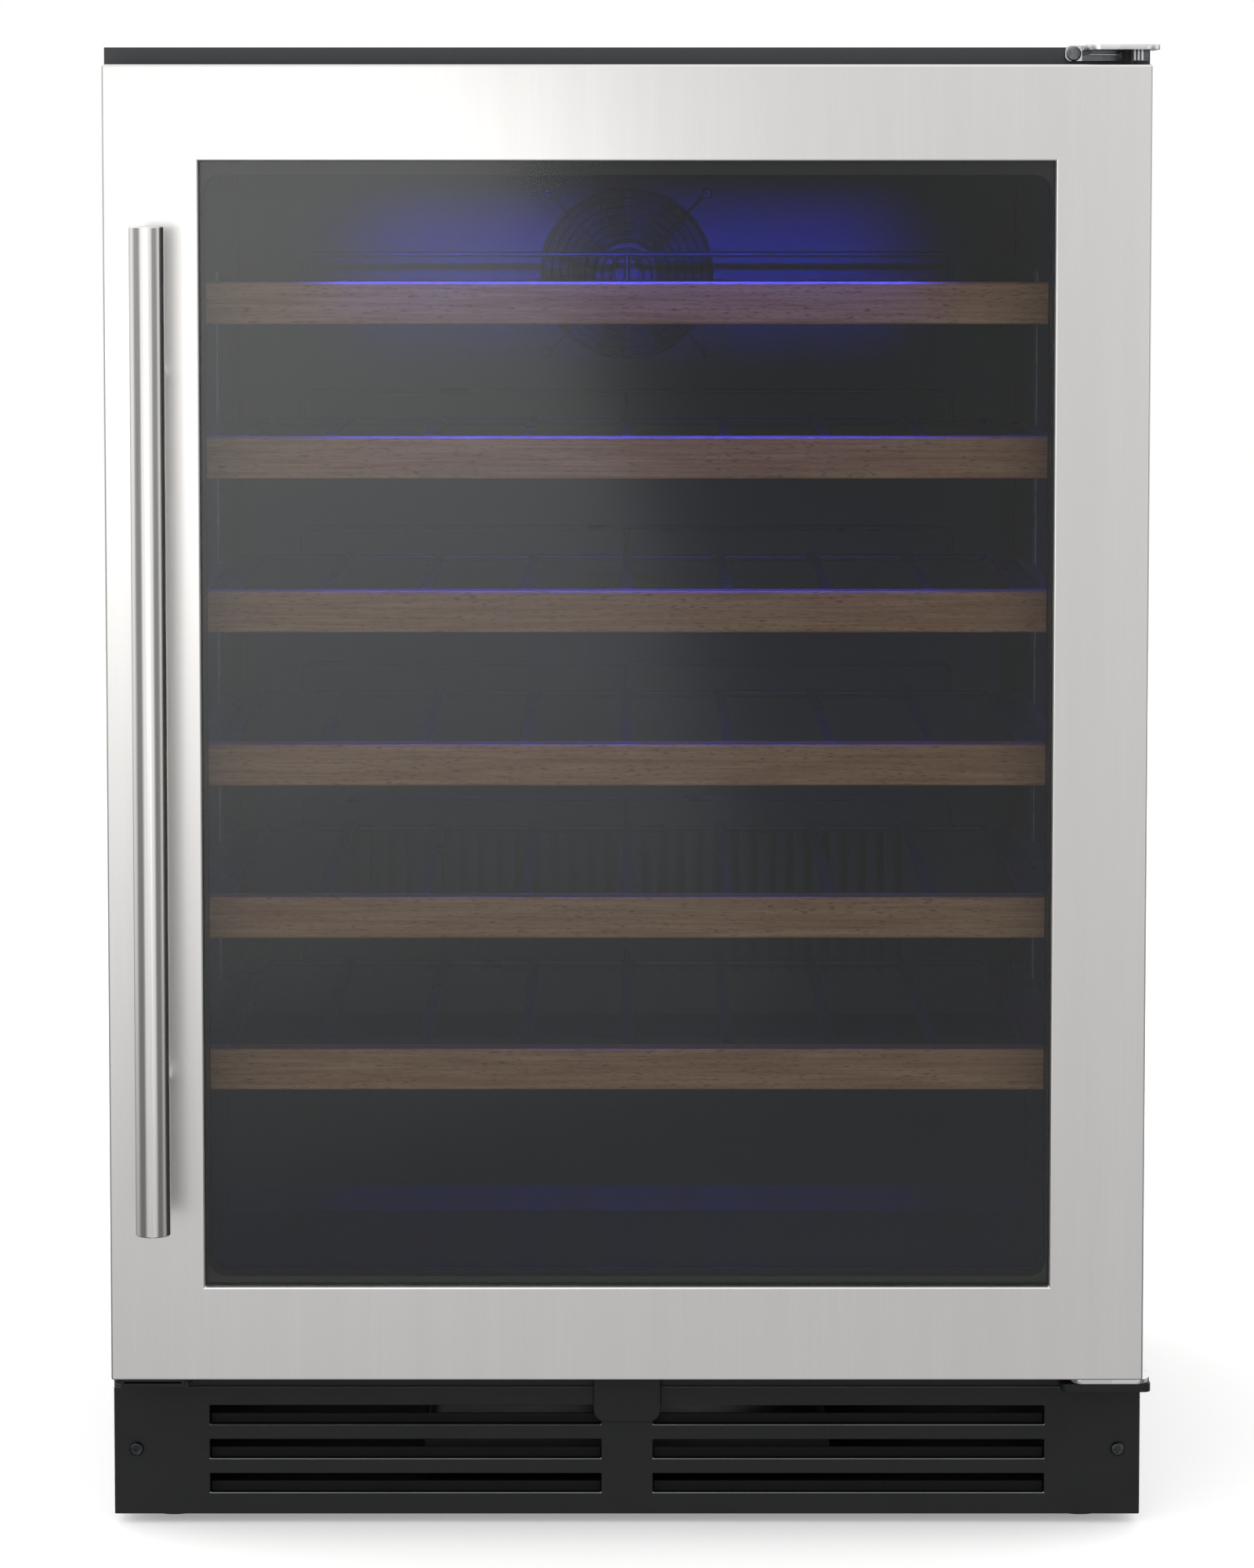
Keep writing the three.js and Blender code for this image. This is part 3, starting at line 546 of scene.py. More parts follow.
FIN_COAT = PowderCoat(
    "epoxy_coated_fin", "fin_aluminium", light="#1a1b1d", dark="#141516", roughness=0.5,
    specular=0.3,
)
GALVANISED = PlatedSteel(
    "galvanised_sheet", "galvanised_sheet", light="#a6a9ab", dark="#8b8f92", roughness=0.42,
    crystal=11 * MM,
)
LINER = MouldedPlastic("polystyrene_liner_dark", "liner_plastic", light="#3f4244", dark="#363a3c")
ABS = MouldedPlastic("moulded_abs_black", "black_plastic", light="#161718", dark="#101112")
SEAL = MouldedPlastic(
    "magnetic_seal_vinyl", "seal_rubber", light="#1c1c1d", dark="#141415", roughness=0.6,
)
FOAM = MouldedPlastic(
    "polyurethane_foam", "foam", light="#e2d8b8", dark="#cfc39c", roughness=0.9, grain=1.5 * MM,
    relief=0.5 * MM,
)
BEECH = Beech("beech_lacquered", "beech")
OUTER_PANE = TintedPane("float_glass_grey_tint", "tinted_glass", tint="#e7e9e8", ior=1.45)
INNER_PANE = TintedPane("float_glass_low_e", "tinted_glass", tint="#eff0f0", ior=1.2)
DISPLAY = TintedPane("smoked_display_window", "display_glass", tint="#30343c", gloss=0.05)
LENS = LightLens("frosted_blue_lens", "light_lens")


# ---------------------------------------------------------------- modelling helpers


def activate(piece: bpy.types.Object) -> None:
    """Makes one object the only selected and active one.

    Args:
        piece: The object.
    """
    for other in bpy.context.selected_objects:
        other.select_set(False)
    piece.select_set(True)
    bpy.context.view_layer.objects.active = piece


@contextmanager
def editing(piece: bpy.types.Object, mode: str = "FACE") -> Iterator[bmesh.types.BMesh]:
    """Opens an object in edit mode with nothing selected, and closes it again.

    Args:
        piece: The mesh object to edit.
        mode: VERT, EDGE or FACE, the kind of element that is picked.

    Yields:
        The mesh being edited, for picking elements by place.
    """
    activate(piece)
    bpy.ops.object.mode_set(mode="EDIT")
    bpy.ops.mesh.select_mode(type=mode)
    bpy.ops.mesh.select_all(action="DESELECT")
    yield bmesh.from_edit_mesh(piece.data)
    bpy.ops.object.mode_set(mode="OBJECT")


def pick(piece: bpy.types.Object, elements: Sequence, test: Callable[[object], bool]) -> None:
    """Selects the faces or edges that pass a test.

    Args:
        piece: The object in edit mode.
        elements: Its faces or edges.
        test: Says whether one of them is picked.
    """
    for element in elements:
        if test(element):
            element.select_set(True)
    bmesh.update_edit_mesh(piece.data)


def settle(piece: bpy.types.Object, name: str) -> bpy.types.Object:
    """Names an object and puts its place, turn and size into its mesh.

    Args:
        piece: The object.
        name: Its new name.

    Returns:
        The same object.
    """
    activate(piece)
    bpy.ops.object.transform_apply(location=True, rotation=True, scale=True)
    piece.name = name
    piece.data.name = name
    return piece


def link(name: str, data: bpy.types.ID) -> bpy.types.Object:
    """Makes an object from its data and puts it in the scene.

    Args:
        name: The object's name.
        data: Its mesh, curve, lamp or camera.

    Returns:
        The new object.
    """
    made = bpy.data.objects.new(name, data)
    bpy.context.scene.collection.objects.link(made)
    return made


def extrude(*way: float) -> None:
    """Extrudes the picked faces by a step along X, Y and Z."""
    bpy.ops.mesh.extrude_region_move(TRANSFORM_OT_translate={"value": way})


def block(name: str, low: Sequence[float], high: Sequence[float]) -> bpy.types.Object:
    """Starts a piece as a block between two corners.

    Args:
        name: The piece's name.
        low: Its lowest corner.
        high: Its highest corner.

    Returns:
        The new object.
    """
    low, high = Vector(low), Vector(high)
    bpy.ops.mesh.primitive_cube_add(size=1, location=(low + high) / 2, scale=high - low)
    return settle(bpy.context.object, name)


def rod(
    name: str, centre: Sequence[float], radius: float, length: float, axis: Axis, sides: int = 32
) -> bpy.types.Object:
    """Starts a piece as a round bar.

    Args:
        name: The piece's name.
        centre: The bar's middle.
        radius: Its radius.
        length: Its length along the axis.
        axis: The way it runs.
        sides: How many sides it has.

    Returns:
        The new object.
    """
    bpy.ops.mesh.primitive_cylinder_add(
        vertices=sides, radius=radius, depth=length, location=centre, rotation=axis.value
    )
    return settle(bpy.context.object, name)


def apply_modifier(piece: bpy.types.Object, kind: str, **settings: object) -> None:
    """Adds a modifier and applies it.

    Args:
        piece: The object.
        kind: The modifier's type.
        settings: The modifier's own properties.
    """
    activate(piece)
    modifier = piece.modifiers.new(kind.lower(), kind)
    for name, value in settings.items():
        setattr(modifier, name, value)
    bpy.ops.object.modifier_apply(modifier=modifier.name)


def round_edges(piece: bpy.types.Object, radius: float, steps: int = 2, angle: float = 40) -> None:
    """Rounds every edge that is sharper than an angle, and shades the piece smooth.

    Args:
        piece: The object.
        radius: How wide the rounding is.
        steps: How many faces it has.
        angle: The least angle, in degrees, of an edge that is rounded.
    """
    apply_modifier(
        piece, "BEVEL", width=radius, segments=steps, limit_method="ANGLE",
        angle_limit=math.radians(angle), harden_normals=False,
    )
    smooth(piece)


def smooth(piece: bpy.types.Object, angle: float = 35) -> None:
    """Shades a piece smooth across edges flatter than an angle, and keeps its broad faces flat.

    Args:
        piece: The object.
        angle: The least angle, in degrees, of an edge that stays sharp.
    """
    activate(piece)
    bpy.ops.object.shade_smooth_by_angle(angle=math.radians(angle))
    apply_modifier(piece, "WEIGHTED_NORMAL", mode="FACE_AREA", weight=100, keep_sharp=True)


def join(name: str, pieces: Sequence[bpy.types.Object]) -> bpy.types.Object:
    """Joins objects into the first of them.

    Args:
        name: The joined piece's name.
        pieces: The objects.

    Returns:
        The joined object.
    """
    activate(pieces[0])
    for piece in pieces[1:]:
        piece.select_set(True)
    bpy.ops.object.join()
    pieces[0].name = name
    pieces[0].data.name = name
    return pieces[0]


def slab(
    name: str, low: Sequence[float], high: Sequence[float], radius: float, steps: int = 2
) -> bpy.types.Object:
    """Makes a block with rounded edges.

    Args:
        name: The piece's name.
        low: Its lowest corner.
        high: Its highest corner.
        radius: How wide its edges are rounded.
        steps: How many faces each rounding has.

    Returns:
        The new object.
    """
    piece = block(name, low, high)
    round_edges(piece, radius, steps)
    return piece


def carve(piece: bpy.types.Object, tool: bpy.types.Object) -> None:
    """Cuts a closed tool out of a piece and deletes the tool."""
    apply_modifier(piece, "BOOLEAN", operation="DIFFERENCE", object=tool, solver="EXACT")
    bpy.data.objects.remove(tool)


def wire(
    name: str, corners: Sequence[Sequence[float]], radius: float, bend: float = 0.0
) -> bpy.types.Object:
    """Bends a round wire through corners.

    Args:
        name: The wire's name.
        corners: The points where its straight runs meet.
        radius: Its radius.
        bend: The radius of each bend, or 0 for sharp corners.

    Returns:
        The wire as a closed mesh.
    """
    points = [Vector(corner) for corner in corners]
    path = [points[0]]
    for before, here, after in zip(points, points[1:], points[2:]):
        start = here + (before - here).normalized() * bend
        end = here + (after - here).normalized() * bend
        steps = 5 if bend else 0
        for step in range(steps + 1):
            t = step / steps if steps else 0.0
            path.append((1 - t) ** 2 * start + 2 * t * (1 - t) * here + t ** 2 * end)
    path.append(points[-1])
    curve = bpy.data.curves.new(name, "CURVE")
    curve.dimensions = "3D"
    curve.bevel_depth = radius
    curve.bevel_resolution = 3
    curve.use_fill_caps = True
    spline = curve.splines.new("POLY")
    spline.points.add(len(path) - 1)
    for point, place in zip(spline.points, path):
        point.co = (*place, 1.0)
    activate(link(name, curve))
    bpy.ops.object.convert(target="MESH")
    made = bpy.context.object
    with editing(made):
        bpy.ops.mesh.select_all(action="SELECT")
        bpy.ops.mesh.remove_doubles(threshold=NEAR)
        bpy.ops.mesh.normals_make_consistent(inside=False)
    smooth(made)
    return made


def softened(node: str, radius: float, steps: int = 2, angle: float = 40) -> bpy.types.Object:
    """Makes a rounded copy of a CAD node.

    Args:
        node: The CAD node's name.
        radius: How wide its edges are rounded.
        steps: How many faces each rounding has.
        angle: The least angle, in degrees, of an edge that is rounded.

    Returns:
        The copy, named after the node.
    """
    piece = link(node + "_skin", NODES[node].data.copy())
    with editing(piece):
        bpy.ops.mesh.customdata_custom_splitnormals_clear()
        bpy.ops.mesh.select_all(action="SELECT")
        bpy.ops.mesh.remove_doubles(threshold=0.005 * MM)
        bpy.ops.mesh.dissolve_limited(angle_limit=math.radians(0.5))
    if radius > 0:
        round_edges(piece, radius, steps, angle)
    else:
        smooth(piece)
    return piece


def dress(piece: bpy.types.Object, finish: Finish, body: str, *nodes: str) -> bpy.types.Object:
    """Gives a piece its finish and its body, and has it stand for CAD nodes.

    Args:
        piece: The finished object.
        finish: Its finish.
        body: The name of the CAD body that it rides on.
        nodes: The CAD nodes that it replaces.

    Returns:
        The same object.
    """
    piece.data.materials.clear()
    piece.data.materials.append(finish.material())
    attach(piece, body)
    if nodes:
        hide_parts(*nodes)
    LOG.info("%s: %d faces on %s", piece.name, len(piece.data.polygons), body)
    return piece


def reface(
    node: str, finish: Finish, body: str, radius: float, steps: int = 2, angle: float = 40
) -> bpy.types.Object:
    """Puts a rounded and dressed copy of a CAD node in its place."""
    return dress(softened(node, radius, steps, angle), finish, body, node)


# ---------------------------------------------------------------- fasteners


@dataclass
class CrossScrew:
    """A round-headed screw with a cross recess, facing along -Y or +Y."""

    radius: float = 4.0 * MM
    height: float = 2.2 * MM
    recess: float = 0.45
    blade: float = 0.9 * MM
    depth: float = 1.2 * MM
    dome_width: float = 0.42
    dome_height: float = 0.6
    sides: int = 28

    def build(self, name: str, seat: Sequence[float], towards: int = -1) -> bpy.types.Object:
        """Makes one screw head.

        Args:
            name: The screw's name.
            seat: The middle of the face it sits on.
            towards: -1 if it faces the front, 1 if it faces the back.

        Returns:
            The head.
        """
        seat = Vector(seat)
        crown = seat + Vector((0, towards * self.height, 0))
        head = rod(name, (seat + crown) / 2, self.radius, self.height, Axis.Y, self.sides)
        dome = min(self.dome_width * self.radius, self.dome_height * self.height)
        with editing(head, "EDGE") as mesh:
            pick(head, mesh.edges, lambda edge: all(
                abs(v.co.y - crown.y) < NEAR for v in edge.verts))
            bpy.ops.mesh.bevel(offset=dome, segments=4)
        arm = self.radius * self.recess
        for across, upright in ((arm, self.blade / 2), (self.blade / 2, arm)):
            reach = Vector((across, self.depth, upright))
            carve(head, block("tool", crown - reach, crown + reach))
        smooth(head)
        return head


# ---------------------------------------------------------------- door


@dataclass
class Door:
    """The framed glass door with its bar handle."""

    border: float = 54 * MM
    sheet: float = 1.2 * MM
    fold: float = 1.3 * MM
    lip: float = 4 * MM
    sharp: float = 1.0
    seal_width: float = 12 * MM
    seal_wall: float = 4.6 * MM
    seal_groove: float = 2.2 * MM
    seal_edge: float = 1.2 * MM
    cap_inset: float = 1.6 * MM
    cap_rim: float = 0.4 * MM
    cap_sink: float = 0.3 * MM
    bar_edge: float = 0.8 * MM
    post_radius: float = 6 * MM
    post_edge: float = 0.5 * MM
    foot_radius: float = 7 * MM
    foot_height: float = 3.5 * MM
    foot_flare: float = 1.0 * MM
    foot_rim: float = 2.5 * MM
    body: str = Body.DOOR.value

    def build(self) -> None:
        """Builds and dresses every piece of the door."""
        self.build_face()
        for node, finish, edge, steps in (
            ("door_core", ABS, 0.6, 2), ("outer_glass", OUTER_PANE, 0.5, 2),
            ("inner_glass", INNER_PANE, 0.5, 2), ("glazing_bead", ABS, 1.2, 3),
        ):
            reface(node, finish, self.body, edge * MM, steps)
        self.build_seal()
        self.build_bar()
        for node in ("handle_post_upper", "handle_post_lower"):
            self.build_post(node)

    def build_face(self) -> None:
        """Folds the stainless face from one sheet: front, skirt and a lip at the glass."""
        face = block("door_face", *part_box("door_frame"))
        with editing(face) as mesh:
            pick(face, mesh.faces, lambda f: f.normal.y > FACING)
            bpy.ops.mesh.delete(type="FACE")
        with editing(face) as mesh:
            pick(face, mesh.faces, lambda f: f.normal.y < -FACING)
            bpy.ops.mesh.inset(thickness=self.border)
            extrude(0, self.lip, 0)
            bpy.ops.mesh.delete(type="FACE")
        with editing(face, "EDGE") as mesh:
            pick(face, mesh.edges, lambda e: len(e.link_faces) == 2
                 and e.calc_face_angle(0) > self.sharp)
            bpy.ops.mesh.bevel(offset=self.fold, segments=4)
        with editing(face):
            bpy.ops.mesh.select_all(action="SELECT")
            bpy.ops.mesh.normals_make_consistent(inside=False)
        apply_modifier(face, "SOLIDIFY", thickness=self.sheet, offset=-1.0, use_even_offset=True)
        smooth(face, 30)
        dress(face, DOOR_STEEL, self.body, "door_frame")

    def build_seal(self) -> None:
        """Moulds the seal as a soft bead with a groove along its face."""
        seal = block("door_seal", *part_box("door_gasket"))
        with editing(seal) as mesh:
            pick(seal, mesh.faces, lambda f: abs(f.normal.y) > FACING)
            bpy.ops.mesh.inset(thickness=self.seal_width)
            bpy.ops.mesh.bridge_edge_loops()
        with editing(seal) as mesh:
            pick(seal, mesh.faces, lambda f: f.normal.y > FACING)
            bpy.ops.mesh.inset(thickness=self.seal_wall)
            extrude(0, -self.seal_groove, 0)
        round_edges(seal, self.seal_edge, 3)
        dress(seal, SEAL, self.body, "door_gasket")

    def build_bar(self) -> None:
        """Turns the handle's bar with eased ends and sunk end caps."""
        low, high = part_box("handle_bar")
        radius = (high.x - low.x) / 2
        bar = rod("handle_bar_turned", (low + high) / 2, radius, high.z - low.z, Axis.Z, 96)
        with editing(bar) as mesh:
            pick(bar, mesh.faces, lambda f: abs(f.normal.z) > FACING)
            bpy.ops.mesh.inset(thickness=self.cap_inset, use_individual=True)
            bpy.ops.mesh.inset(thickness=self.cap_rim, depth=-self.cap_sink, use_individual=True)
        round_edges(bar, self.bar_edge, 4)
        dress(bar, HANDLE_STEEL, self.body, "handle_bar")

    def build_post(self, node: str) -> None:
        """Turns one post of the handle with a flared foot at the door.

        Args:
            node: The CAD post that it stands for.
        """
        near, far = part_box(node)
        post = rod(node + "_turned", (near + far) / 2, self.post_radius, far.y - near.y, Axis.Y, 48)
        grow = self.foot_radius / self.post_radius
        with editing(post) as mesh:
            pick(post, mesh.faces, lambda f: f.normal.y > FACING)
            bpy.ops.transform.translate(value=(0, -self.foot_height, 0))
            extrude(0, self.foot_flare, 0)
            bpy.ops.transform.resize(value=(grow, 1, grow))
            extrude(0, self.foot_rim, 0)
        round_edges(post, self.post_edge, 3)
        dress(post, HANDLE_STEEL, self.body, node)


# ---------------------------------------------------------------- cabinet


@dataclass
class Cabinet:
    """The painted wrap, the plinth and the sheets behind and below."""

    edge: float = 0.25 * MM
    foam_edge: float = 2 * MM
    ribs: int = 5
    rib_half: float = 6 * MM
    rib_end: float = 40 * MM
    rib_slope: float = 1.2 * MM
    rib_depth: float = 0.9 * MM
    middle_zone: float = 10 * MM
    screw_inset: float = 14 * MM
    screw_drop: float = 12 * MM
    screw_middle: float = 110 * MM
    kick_edge: float = 0.8 * MM
    kick_skin: float = 1 * MM
    # how far behind the front the kick plate's faces take the painted shade
    shade_depth: float = 3 * MM
    # the least share of a slot lip's normal, up and forward, that takes the painted highlight
    highlight_tilt: float = 0.35
    body: str = Body.CABINET.value

    def build(self) -> None:
        """Builds and dresses every outside piece of the cabinet but its hinges."""
        for node, finish, edge in (
            ("cabinet_shell", CHARCOAL, self.edge), ("cross_rail", BLACK_COAT, self.edge),
            # the base pan is near-black as painted shade seen through the kick plate's slots
            ("insulation_foam", FOAM, self.foam_edge), ("base_pan", SHADE_BLACK_COAT, self.edge),
            ("machine_cover", GALVANISED, self.edge),
        ):
            reface(node, finish, self.body, edge)
        self.build_rear()
        self.build_plinth()
        Hinges().build()
        for node in [name for name in NODES if name.startswith("foot_")]:
            Foot(node).build()

    def build_rear(self) -> None:
        """Presses upright ribs into the rear sheet and screws its edges down."""
        low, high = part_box("rear_sheet")
        sheet = block("rear_sheet_pressed", low, high)
        sheet_width = high.x - low.x
        for index in range(self.ribs):
            x = low.x + sheet_width * (index + 1) / (self.ribs + 1)
            with editing(sheet):
                for side in (-1, 1):
                    self.score((x + side * self.rib_half, 0, 0), (1, 0, 0))
        with editing(sheet):
            for z in (low.z + self.rib_end, high.z - self.rib_end):
                self.score((0, 0, z), (0, 0, 1))
        middle = (low.z + high.z) / 2
        with editing(sheet) as mesh:
            pick(sheet, mesh.faces, lambda f: f.normal.y > FACING and
                 abs(f.calc_center_median().z - middle) < self.middle_zone and
                 max(v.co.x for v in f.verts) - min(v.co.x for v in f.verts) < 2.5 * self.rib_half)
            bpy.ops.mesh.inset(
                thickness=self.rib_slope, depth=-self.rib_depth, use_individual=True
            )
        round_edges(sheet, self.edge, 2, 20)
        dress(sheet, GALVANISED, self.body, "rear_sheet")
        screw = CrossScrew(radius=3.4 * MM, height=1.0 * MM)
        cover_low, cover_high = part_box("machine_cover")
        heads = []
        for z in (high.z - self.screw_drop, low.z + self.screw_inset,
                  cover_high.z - self.screw_drop, cover_low.z + self.screw_inset):
            for x in (low.x + self.screw_inset, -self.screw_middle, self.screw_middle,
                      high.x - self.screw_inset):
                heads.append(screw.build("rear_screw", (x, high.y - screw.height, z), 1))
        dress(join("rear_screws", heads), ZINC, self.body)

    def score(self, place: Sequence[float], across: Sequence[float]) -> None:
        """Cuts edges into the sheet being edited, where the plane at a place meets it."""
        bpy.ops.mesh.select_all(action="SELECT")
        bpy.ops.mesh.bisect(plane_co=place, plane_no=across)

    def build_plinth(self) -> None:
        """Dresses the slotted kick plate, its tongue and its two screws."""
        kick = reface("kick_plate", BLACK_COAT, self.body, self.kick_edge, 3)
        # the second material is a painted highlight on the slot lips
        kick.data.materials.append(SLOT_LIP_HIGHLIGHT.material())
        # the third material is a painted shade on the faces inside the slots
        kick.data.materials.append(SHADE_BLACK_COAT.material())
        edge_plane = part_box("kick_plate")[0].y + self.kick_skin
        for face in kick.data.polygons:
            on_front = face.center.y < edge_plane
            if on_front and face.normal.z > self.highlight_tilt and face.normal.y < -self.highlight_tilt:
                face.material_index = 1
            elif face.center.y > edge_plane + self.shade_depth:
                face.material_index = 2
        reface("kick_tab", BLACK_COAT, self.body, self.kick_edge, 3)
        screw = CrossScrew()
        for node in ("kick_screw_left", "kick_screw_right"):
            low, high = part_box(node)
            seat = ((low.x + high.x) / 2, low.y + screw.height, (low.z + high.z) / 2)
            dress(screw.build(node + "_head", seat), BLACK_SCREW, self.body, node)


@dataclass
class Foot:
    """A levelling foot with a round pad and a threaded stem."""

    node: str
    pad_height: float = 8 * MM
    pad_inset: float = 4 * MM
    pad_edge: float = 1.2 * MM
    stem_radius: float = 4 * MM
    threads: int = 12
    thread_fill: float = 0.96
    thread_edge: float = 0.3

    def build(self) -> None:
        """Turns and dresses the foot."""
        low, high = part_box(self.node)
        centre = (low + high) / 2
        pad_top = low.z + self.pad_height
        pad = rod(self.node + "_pad", (centre.x, centre.y, (low.z + pad_top) / 2),
                  (high.x - low.x) / 2, pad_top - low.z, Axis.Z, 48)
        with editing(pad) as mesh:
            pick(pad, mesh.faces, lambda f: f.normal.z > FACING)
            bpy.ops.mesh.inset(thickness=self.pad_inset)
        round_edges(pad, self.pad_edge, 3)
        parts = [pad]
        pitch = (high.z - pad_top) / self.threads
        for turn in range(self.threads):
            z = pad_top + (turn + 0.5) * pitch
            ring = rod("thread", (centre.x, centre.y, z), self.stem_radius,
                       pitch * self.thread_fill, Axis.Z, 20)
            round_edges(ring, pitch * self.thread_edge, 2)
            parts.append(ring)
        dress(join(self.node + "_turned", parts), ABS, self.node, self.node)


@dataclass
class Hinges:
    """The upper hinge, the lower hinge and the spare bracket opposite it."""

    pin_x: float = 282.5 * MM
    pin_y: float = -237.625 * MM
    upper_pin: float = 3 * MM
    lower_pin: float = 4 * MM
    plate: float = 3 * MM
    corner: float = 8 * MM
    leaf_height: float = 9 * MM
    leaf_width: float = 9.6 * MM
    leaf_corner: float = 3.2 * MM
    thin_edge: float = 0.3 * MM
    leaf_edge: float = 0.4 * MM
    tongue_edge: float = 0.35 * MM
    rib_offsets: tuple[float, ...] = (5.0 * MM, 7.2 * MM, 9.4 * MM)
    rib_width: float = 1.3 * MM
    rib_stand: float = 2.6 * MM
    ledge_foot: float = 3.4 * MM
    ledge_top: float = 4.1 * MM
    ledge_stand: float = 0.9 * MM
    head_rise: float = 4.3 * MM
    lower_top: float = 10.5 * MM
    cap_drop: float = 8 * MM
    cap_gap: float = 3.2 * MM
    spare_inset: float = 6 * MM
    knob_inset: float = 4.2 * MM
    knob_radius: float = 2.6 * MM
    body: str = Body.CABINET.value

    def build(self) -> None:
        """Builds and dresses the hinges and the bracket."""
        self.build_upper()
        self.build_lower()
        self.build_spare()

    def tongue(self, name: str, low: Sequence[float], high: Sequence[float], tip: float
               ) -> bpy.types.Object:
        """Cuts a hinge plate with two rounded front corners.

        Args:
            name: The plate's name.
            low: Its lowest corner.
            high: Its highest corner.
            tip: The radius of its corners.

        Returns:
            The plate.
        """
        plate = block(name, low, high)
        with editing(plate, "EDGE") as mesh:
            pick(plate, mesh.edges, lambda e: all(abs(v.co.y - low[1]) < NEAR
                 for v in e.verts) and abs(e.verts[0].co.z - e.verts[1].co.z) > 1 * MM)
            bpy.ops.mesh.bevel(offset=tip, segments=8)
        round_edges(plate, self.tongue_edge, 2)
        return plate

    def build_upper(self) -> None:
        """Builds the upper hinge: screwed leaf, web in painted shade with ribs, tongue and pin."""
        low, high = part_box("upper_hinge")
        shelf = high.z - self.leaf_height
        split = low.x + self.leaf_width
        face = high.y - self.plate
        under = high.z - self.plate
        leaf = block("upper_hinge_leaf", (low.x, face, shelf), (split, high.y, high.z))
        with editing(leaf, "EDGE") as mesh:
            pick(leaf, mesh.edges, lambda e: all(abs(v.co.x - low.x) < NEAR for v in e.verts)
                 and abs(e.verts[0].co.y - e.verts[1].co.y) > 1 * MM)
            bpy.ops.mesh.bevel(offset=self.leaf_corner, segments=6)
        round_edges(leaf, self.thin_edge, 2)
        plate = self.tongue("upper_hinge_tongue", (split, low.y, under), high, self.corner)
        pin = rod("upper_hinge_pin", (self.pin_x, self.pin_y, (low.z + high.z) / 2 - 1 * MM),
                  self.upper_pin, high.z - low.z - 2 * MM, Axis.Z, 32)
        round_edges(pin, 0.5 * MM, 2)
        dress(pin, BLACK_COAT, self.body)
        ribs = []
        for offset in self.rib_offsets:
            x = self.pin_x + offset
            ribs.append(slab("rib", (x, face - self.rib_stand, shelf + 0.4 * MM),
                             (x + self.rib_width, high.y, under), self.thin_edge))
        ledge = slab("ledge", (split + 4 * MM, face - self.ledge_stand, shelf + self.ledge_foot),
                     (self.pin_x - self.upper_pin, high.y, shelf + self.ledge_top), 0.2 * MM, 1)
        bracket = join("upper_hinge_bright", [plate, leaf, ledge, *ribs])
        dress(bracket, BRIGHT_ZINC, self.body, "upper_hinge")
        # The web under the tongue takes the darker screw steel as painted shade, not the bracket's
        # bright zinc.
        web = slab("upper_hinge_web_painted_shade", (split, face + 0.4 * MM, shelf),
                   (high.x - 3.5 * MM, high.y, under), self.thin_edge)
        dress(web, SCREW_STEEL, self.body)
        screw = CrossScrew(radius=4.2 * MM, height=1.8 * MM, recess=0.6, blade=1.1 * MM)
        head = screw.build("hinge_screw", ((low.x + split) / 2, face, shelf + self.head_rise))
        dress(head, SCREW_STEEL, self.body)

    def build_lower(self) -> None:
        """Builds the lower hinge: a bright tongue over a black cap, and the pin."""
        low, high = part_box("lower_hinge")
        top = low.z + self.lower_top
        plate = self.tongue("lower_hinge_tongue", (low.x + 4 * MM, low.y, top - self.plate),
                            (high.x - 0.4 * MM, high.y, top), self.corner)
        pin = rod("lower_hinge_pin", (self.pin_x, self.pin_y, (top + high.z) / 2 - 1 * MM),
                  self.lower_pin, high.z - top + 2 * MM, Axis.Z, 32)
        round_edges(pin, 0.6 * MM, 2)
        dress(join("lower_hinge_bright", [plate, pin]), BRIGHT_ZINC, self.body, "lower_hinge")
        cap = self.tongue("lower_hinge_cap", (low.x, low.y + 1 * MM, top - self.cap_drop),
                          (high.x, high.y, top - self.cap_gap), self.corner / 2)
        dress(cap, BLACK_COAT, self.body)
        leaf = slab("lower_hinge_leaf", (low.x, high.y - self.plate, low.z),
                    (high.x, high.y, top - self.cap_drop), self.leaf_edge)
        dress(leaf, BLACK_COAT, self.body)

    def build_spare(self) -> None:
        """Builds the black bracket for a door hung on the other side, with its stop knob."""
        low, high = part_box("spare_bracket")
        top = low.z + self.lower_top
        left = low.x + self.spare_inset
        plate = self.tongue("spare_bracket_tongue", (left, low.y, top - self.plate),
                            (high.x, high.y, top), 6 * MM)
        lip = slab("spare_lip", (left + 4 * MM, low.y, top - 5 * MM),
                   (high.x - 4 * MM, low.y + 1.6 * MM, top - 1 * MM), 0.7 * MM, 3)
        knob = rod("spare_knob", (high.x - self.knob_inset, low.y + 3.4 * MM, top - 3.4 * MM),
                   self.knob_radius, 6 * MM, Axis.Y, 24)
        round_edges(knob, 0.8 * MM, 3)
        leaf = slab("spare_leaf", (left, high.y - self.plate, low.z),
                    (high.x, high.y, top - self.plate), self.leaf_edge)
        bracket = join("spare_bracket_parts", [plate, lip, knob, leaf])
        dress(bracket, BLACK_COAT, self.body, "spare_bracket")


# ---------------------------------------------------------------- shelves


